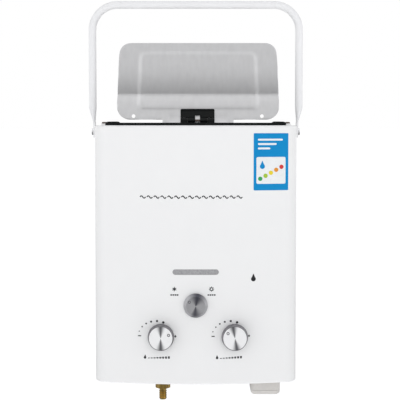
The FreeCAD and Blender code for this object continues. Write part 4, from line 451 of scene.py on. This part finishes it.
# Face tones for the painted reflection wedges: near white between the wedges, near black at their middles. The
# season knob also gets a painted highlight at its lower left.
bright_face, painted_wedge_dark = (0.97, 0.97, 0.98), (0.1, 0.1, 0.11)
dress(spun_with_painted_reflections("spun aluminium, gas", bright_face, painted_wedge_dark, middle("gas_knob_face"), 11, 0), "gas_knob_face")
dress(spun_with_painted_reflections("spun aluminium, water", bright_face, painted_wedge_dark, middle("water_knob_face"), 11, -10), "water_knob_face")
gunmetal = spun_with_painted_reflections("spun gunmetal, season", (0.5, 0.5, 0.52), (0.08, 0.08, 0.1), middle("season_knob_face"), 2, 12,
                0.8, -140, metallic=0.8)
dress(gunmetal, "season_knob_face", "season_knob")

pointer_paint = finish("dark pointer paint", (0.05, 0.05, 0.055), (0.03, 0.03, 0.035), 0.5, grain=400)
pointer_fill = finish("pale pointer fill", (0.86, 0.86, 0.87), (0.8, 0.8, 0.81), 0.4, grain=400)
pointer_places = {"gas": (0.0112, 0.0046), "water": (-0.0099, 0.0071), "season": (-0.0089, 0.006)}
pointer_inner, pointer_outer, pointer_proud, pointer_steps = 0.0012, 0.0021, 0.0002, 28
for control, (across, up) in pointer_places.items():
    x, z = middle(f"{control}_knob_face")
    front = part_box(f"{control}_knob_face")[0].y
    rings = [(pointer_inner, 0.0), (pointer_inner, pointer_proud), (pointer_outer, pointer_proud),
             (pointer_outer, 0.0)]
    turn = [2 * math.pi * k / pointer_steps for k in range(pointer_steps)]
    spots = [(x + across + radius * math.cos(a), front - proud, z + up + radius * math.sin(a))
             for radius, proud in rings for a in turn]
    faces = []
    for r in range(4):
        here, there = r * pointer_steps, (r + 1) % 4 * pointer_steps
        for k in range(pointer_steps):
            after = (k + 1) % pointer_steps
            faces.append((here + k, here + after, there + after, there + k))
    faces.append(tuple(range(pointer_steps)))
    ring_mesh = bpy.data.meshes.new(f"{control}_pointer_ring")
    ring_mesh.from_pydata(spots, [], faces)
    ring_mesh.materials.append(knob_body if control == "season" else pointer_paint)
    ring_mesh.materials.append(gunmetal if control == "season" else pointer_fill)
    ring_mesh.polygons[-1].material_index = 1
    ring = bpy.data.objects.new(f"{control}_pointer_ring", ring_mesh)
    bpy.context.collection.objects.link(ring)
    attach(ring, f"{control}_control")


# Printing on the casing: dots that grow round each dial, a snowflake, a sun, a flame, a drop and a row
# of waves, all silk-screened in dark grey ink on the enamel.

skin = BVHTree.FromPolygons([v.co for v in casing.data.vertices], [tuple(p.vertices) for p in casing.data.polygons])
ink_lift = 0.00015


def settle(ink, name, material, lift):
    """Lays a flat drawing in X and Z onto the casing's bowed front, a little proud of the enamel."""
    for vertex in ink.verts:
        spot = skin.ray_cast(Vector((vertex.co.x, -0.3, vertex.co.z)), Vector((0, 1, 0)))[0]
        vertex.co = spot - Vector((0, lift, 0))
    mesh = bpy.data.meshes.new(name)
    ink.to_mesh(mesh)
    ink.free()
    mesh.materials.append(material)
    film = bpy.data.objects.new(name, mesh)
    bpy.context.collection.objects.link(film)
    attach(film, "body")


def disc(ink, x, z, radius, steps=20):
    turn = [2 * math.pi * k / steps for k in range(steps)]
    ink.faces.new([ink.verts.new((x + radius * math.cos(a), 0, z + radius * math.sin(a))) for a in turn])


def ribbon(ink, points, width, closed=False):
    """A stroke of even width along the points."""
    count = len(points)
    pairs = []
    for k, (x, z) in enumerate(points):
        ahead = points[(k + 1) % count] if closed or k + 1 < count else points[k]
        behind = points[k - 1] if closed or k > 0 else points[k]
        along = Vector((ahead[0] - behind[0], ahead[1] - behind[1])).normalized() * (width / 2)
        pairs.append((ink.verts.new((x - along.y, 0, z + along.x)), ink.verts.new((x + along.y, 0, z - along.x))))
    for k in range(count if closed else count - 1):
        (a, b), (c, d) = pairs[k], pairs[(k + 1) % count]
        ink.faces.new((a, b, d, c))


def arc(x, z, radius, first, last, steps):
    turn = [math.radians(first + (last - first) * k / steps) for k in range(steps + 1)]
    return [(x + radius * math.cos(a), z + radius * math.sin(a)) for a in turn]


def drop(x, z, radius):
    """A falling drop: a round foot drawn up to a point."""
    return arc(x, z, radius, -225, 45, 20) + [(x, z + radius * 2.3)]


def flame(x, z, radius):
    """A flame: a round foot, with a tip that leans to the right."""
    tip = ((0.55, 1.5), (0.3, 2.5), (-0.25, 1.45), (-0.5, 1.1))
    return arc(x, z, radius, -215, 35, 20) + [(x + radius * across, z + radius * up) for across, up in tip]


print_grey = finish("dark grey ink", (0.03, 0.03, 0.034), (0.018, 0.018, 0.022), 0.55, grain=500, bump=0.05,
                    shine=0.2)
dial_ink = bmesh.new()
dial_dot, dial_growth = 0.0008, 0.00019
minus_half, minus_stroke, plus_half, plus_stroke = 0.0022, 0.0014, 0.0015, 0.0011
dial_steps = ((-0.0312, 0.0072), (-0.027, 0.0138), (-0.0213, 0.0184), (-0.0142, 0.0213), (-0.0057, 0.0223),
              (0.0033, 0.0204))
for knob in ("gas_knob", "water_knob"):
    x, z = middle(knob)
    for k, (across, up) in enumerate(dial_steps):
        disc(dial_ink, x + across, z + up, dial_dot + dial_growth * k)
    less_x, less_z, more_x, more_z = x - 0.0308, z + 0.0006, x + 0.0205, z + 0.0006
    ribbon(dial_ink, [(less_x - minus_half, less_z), (less_x + minus_half, less_z)], minus_stroke)
    ribbon(dial_ink, [(more_x - plus_half, more_z), (more_x + plus_half, more_z)], plus_stroke)
    ribbon(dial_ink, [(more_x, more_z - 0.0017), (more_x, more_z - 0.0005)], plus_stroke)
    ribbon(dial_ink, [(more_x, more_z + 0.0005), (more_x, more_z + 0.0017)], plus_stroke)
settle(dial_ink, "dial_dots", print_grey, ink_lift)

sign_ink = bmesh.new()
snow_x, sun_x, sign_z, sign_stroke = -0.0303, 0.0225, -0.0473, 0.0012
snow_near, snow_far, snow_heart = 0.0013, 0.0031, 0.0014
sun_radius, ray_near, ray_far, ray_stroke = 0.0019, 0.0026, 0.0036, 0.0011
dash_z, dash_length, dash_pitch, dash_stroke = -0.0557, 0.0023, 0.003, 0.002


def rays(ink, x, z, degrees, near, far, width):
    """Short strokes that point out from a middle."""
    for angle in map(math.radians, degrees):
        ribbon(ink, [(x + near * math.cos(angle), z + near * math.sin(angle)),
                     (x + far * math.cos(angle), z + far * math.sin(angle))], width)


rays(sign_ink, snow_x, sign_z, range(30, 390, 60), snow_near, snow_far, sign_stroke)
disc(sign_ink, snow_x, sign_z, snow_heart)
ribbon(sign_ink, arc(sun_x, sign_z, sun_radius, 0, 345, 23), sign_stroke, closed=True)
rays(sign_ink, sun_x, sign_z, range(0, 360, 45), ray_near, ray_far, ray_stroke)
for x in (snow_x, sun_x):
    for k in range(4):
        left = x - 0.0056 + dash_pitch * k
        ribbon(sign_ink, [(left, dash_z), (left + dash_length, dash_z)], dash_stroke)
settle(sign_ink, "season_signs", print_grey, ink_lift)

foot_ink = bmesh.new()
foot_z, foot_radius, bar_foot, bar_length, bar_pitch = -0.1457, 0.0018, -0.1474, 0.0026, 0.0041
for x, shape in ((-0.0725, flame), (0.0305, drop)):
    foot_ink.faces.new([foot_ink.verts.new((px, 0, pz)) for px, pz in shape(x, foot_z - 0.0006, foot_radius)])
    for k in range(8):
        left = x + 0.0042 + bar_pitch * k
        height = 0.001 + 0.00034 * k
        ribbon(foot_ink, [(left, bar_foot + height / 2), (left + bar_length, bar_foot + height / 2)], height)
settle(foot_ink, "flame_and_drop_marks", print_grey, ink_lift)

wave_ink = bmesh.new()
wave_left, wave_right, wave_z, wave_height, wave_length = -0.079, 0.072, 0.0837, 0.0017, 0.0098
wave_stroke, wave_share = 0.0015, 0.8
wave_count = int((wave_right - wave_left) / wave_length)
for k in range(wave_count):
    left = wave_left + k * wave_length
    points = [(left + wave_length * wave_share * t / 10, wave_z + wave_height * math.sin(2 * math.pi * t / 10))
              for t in range(11)]
    ribbon(wave_ink, points, wave_stroke)
settle(wave_ink, "wave_row", print_grey, ink_lift)

drop_ink = bmesh.new()
drop_ink.faces.new([drop_ink.verts.new((px, 0, pz)) for px, pz in drop(0.0823, -0.0335, 0.0034)])
settle(drop_ink, "large_drop_mark", print_grey, ink_lift)


# Sticker: a printed vinyl label on the casing's upper right, blue with a white field.
# It carries plain coloured dots, bars and a drop, and no words.

def panel(ink, x0, z0, x1, z1, radius, columns=16):
    """A rectangle with rounded corners, cut into upright strips so that it bends with the front."""
    spots = sorted({x0, x1} | {x0 + (x1 - x0) * k / columns for k in range(columns + 1)}
                   | {x0 + radius * (1 - math.cos(math.radians(a))) for a in (0, 30, 60, 90)}
                   | {x1 - radius * (1 - math.cos(math.radians(a))) for a in (0, 30, 60, 90)})
    pairs = []
    for x in spots:
        inside = max(radius - (x - x0), radius - (x1 - x), 0)
        trim = radius - math.sqrt(max(radius ** 2 - inside ** 2, 0))
        pairs.append((ink.verts.new((x, 0, z0 + trim)), ink.verts.new((x, 0, z1 - trim))))
    for (a, b), (c, d) in zip(pairs, pairs[1:]):
        ink.faces.new((a, c, d, b))


label_left, label_right, label_foot, label_top = 0.0822, 0.132, 0.0929, 0.174
label_blue = finish("blue vinyl", (0.0, 0.27, 0.62), (0.0, 0.25, 0.58), 0.45, grain=60, bump=0.03, shine=0.2)
label_white = finish("white vinyl print", (0.88, 0.9, 0.91), (0.84, 0.86, 0.87), 0.3, grain=60, bump=0.03)
ground = bmesh.new()
panel(ground, label_left, label_foot, label_right, label_top, 0.0012)
settle(ground, "sticker", label_blue, 0.0002)
field = bmesh.new()
panel(field, label_left + 0.004, label_foot + 0.0093, label_right - 0.004, label_foot + 0.0474, 0.002)
settle(field, "sticker_white_field", label_white, 0.0003)
marks = bmesh.new()
for k in range(3):
    panel(marks, label_left + 0.006, label_top - 0.0105 - 0.0062 * k, label_right - 0.008 - 0.009 * k,
          label_top - 0.0078 - 0.0062 * k, 0.0013, columns=8)
settle(marks, "sticker_white_bars", label_white, 0.0003)
hues = (("green", (0.02, 0.38, 0.1)), ("lime", (0.4, 0.6, 0.03)), ("yellow", (0.85, 0.68, 0.02)),
        ("orange", (0.82, 0.3, 0.02)), ("red", (0.7, 0.03, 0.03)))
for k, (hue, colour) in enumerate(hues):
    spot = bmesh.new()
    disc(spot, label_left + 0.0095 + 0.0076 * k, label_foot + 0.0165 + 0.0042 * k, 0.0031)
    tint = finish(f"{hue} print", colour, tuple(c * 0.9 for c in colour), 0.35, grain=60, bump=0.03)
    settle(spot, f"sticker_{hue}_dot", tint, 0.0004)
mark = bmesh.new()
mark.faces.new([mark.verts.new((px, 0, pz)) for px, pz in drop(label_left + 0.0125, label_foot + 0.034, 0.0036)])
settle(mark, "sticker_drop", label_blue, 0.0004)


# Battery box: a pale grey moulded box under the casing, for two D cells, with a door below.

battery_plastic = finish("pale grey plastic", (0.64, 0.615, 0.59), (0.6, 0.58, 0.555), 0.42, grain=260, bump=0.15)
cell_sleeve = finish("blue cell sleeve", (0.05, 0.12, 0.24), (0.04, 0.1, 0.2), 0.3, grain=60, coat=0.3)
dress(battery_plastic, "battery_box", "battery_door")
dress(cell_sleeve, "battery_cells")


# Studio: a pale floor well below the hanging heater, a white surround, and soft lights.
# Polished metal mirrors a room that is dark below and bright from eye level up; everything is lit evenly.

floor_mesh = bpy.data.meshes.new("floor")
reach, floor_z = 90.0, -0.5
floor_mesh.from_pydata([(-reach, -reach, floor_z), (reach, -reach, floor_z), (reach, reach, floor_z),
                        (-reach, reach, floor_z)], [], [(0, 1, 2, 3)])
floor = bpy.data.objects.new("floor", floor_mesh)
bpy.context.collection.objects.link(floor)
pale = finish("pale floor", (0.93, 0.93, 0.93), (0.92, 0.92, 0.92), 0.8, grain=2, bump=0)
pale.node_tree.nodes["Principled BSDF"].inputs["Emission Color"].default_value = (1, 1, 1, 1)
pale.node_tree.nodes["Principled BSDF"].inputs["Emission Strength"].default_value = 0.5
floor_mesh.materials.append(pale)
floor.visible_glossy = False

world = bpy.data.worlds.new("studio")
bpy.context.scene.world = world
world.use_nodes = True
sky = world.node_tree
backdrop = sky.nodes["Background"]
backdrop.inputs["Color"].default_value = (1, 1, 1, 1)
backdrop.inputs["Strength"].default_value = 1.0
room = sky.nodes.new("ShaderNodeBackground")
room.inputs["Strength"].default_value = 1.1
heading = sky.nodes.new("ShaderNodeTexCoord")
parts = sky.nodes.new("ShaderNodeSeparateXYZ")
sky.links.new(heading.outputs["Generated"], parts.inputs["Vector"])
height = sky.nodes.new("ShaderNodeMapRange")
height.inputs["From Min"].default_value = -1
sky.links.new(parts.outputs["Z"], height.inputs["Value"])
wall_tones = sky.nodes.new("ShaderNodeValToRGB")
tone_stops = ((0.0, 0.28), (0.41, 0.28), (0.51, 0.92), (0.66, 0.7), (0.8, 0.94))
for k, (place, tone) in enumerate(tone_stops):
    stop = wall_tones.color_ramp.elements[k] if k < 2 else wall_tones.color_ramp.elements.new(place)
    stop.position, stop.color = place, (tone, tone, tone, 1)
sky.links.new(height.outputs["Result"], wall_tones.inputs["Fac"])
aside = sky.nodes.new("ShaderNodeMath")
aside.operation = "ABSOLUTE"
sky.links.new(parts.outputs["X"], aside.inputs[0])
side_gain = sky.nodes.new("ShaderNodeMapRange")
side_gain.interpolation_type = "SMOOTHSTEP"
side_gain.inputs["From Min"].default_value = 0.1
side_gain.inputs["From Max"].default_value = 0.65
side_gain.inputs["To Min"].default_value = 1.0
side_gain.inputs["To Max"].default_value = 1.3
sky.links.new(aside.outputs["Value"], side_gain.inputs["Value"])
walls = sky.nodes.new("ShaderNodeVectorMath")
walls.operation = "SCALE"
sky.links.new(wall_tones.outputs["Color"], walls.inputs[0])
sky.links.new(side_gain.outputs["Result"], walls.inputs["Scale"])
sky.links.new(walls.outputs["Vector"], room.inputs["Color"])
fill = sky.nodes.new("ShaderNodeBackground")
fill.inputs["Color"].default_value = (0.97, 0.98, 1, 1)
fill.inputs["Strength"].default_value = 0.52
seen = sky.nodes.new("ShaderNodeLightPath")
mirrored_or_lit = sky.nodes.new("ShaderNodeMixShader")
sky.links.new(seen.outputs["Is Glossy Ray"], mirrored_or_lit.inputs["Fac"])
sky.links.new(fill.outputs["Background"], mirrored_or_lit.inputs[1])
sky.links.new(room.outputs["Background"], mirrored_or_lit.inputs[2])
choice = sky.nodes.new("ShaderNodeMixShader")
sky.links.new(seen.outputs["Is Camera Ray"], choice.inputs["Fac"])
sky.links.new(mirrored_or_lit.outputs["Shader"], choice.inputs[1])
sky.links.new(backdrop.outputs["Background"], choice.inputs[2])
sky.links.new(choice.outputs["Shader"], sky.nodes["World Output"].inputs["Surface"])


def soft_light(name, place, target, width, height, power, mirrored=True):
    lamp = bpy.data.lights.new(name, "AREA")
    lamp.shape = "RECTANGLE"
    lamp.size, lamp.size_y, lamp.energy = width, height, power
    holder = bpy.data.objects.new(name, lamp)
    bpy.context.collection.objects.link(holder)
    holder.location = place
    holder.rotation_euler = (Vector(target) - Vector(place)).to_track_quat("-Z", "Y").to_euler()
    holder.visible_glossy = mirrored


soft_light("front light", (0.0, -3.0, 1.2), (0, 0, 0), 2.4, 1.6, 14.5, mirrored=False)
soft_light("left light", (-1.8, -1.6, 0.9), (0, 0, 0.05), 1.0, 1.6, 2)
soft_light("right light", (1.8, -1.6, 0.9), (0, 0, 0.05), 1.0, 1.6, 2)
soft_light("top light", (0, -0.2, 1.9), (0, 0, 0), 1.6, 1.0, 4)

scene = bpy.context.scene
scene.view_settings.view_transform = "Standard"
lens = bpy.data.cameras.new("camera")
lens.sensor_width, lens.lens = 36, 111.55
camera = bpy.data.objects.new("camera", lens)
bpy.context.collection.objects.link(camera)
camera.location = (0.006152, -1.89, 0.19261)
camera.rotation_euler = (math.radians(90 - 3.691), 0, 0)
scene.camera = camera
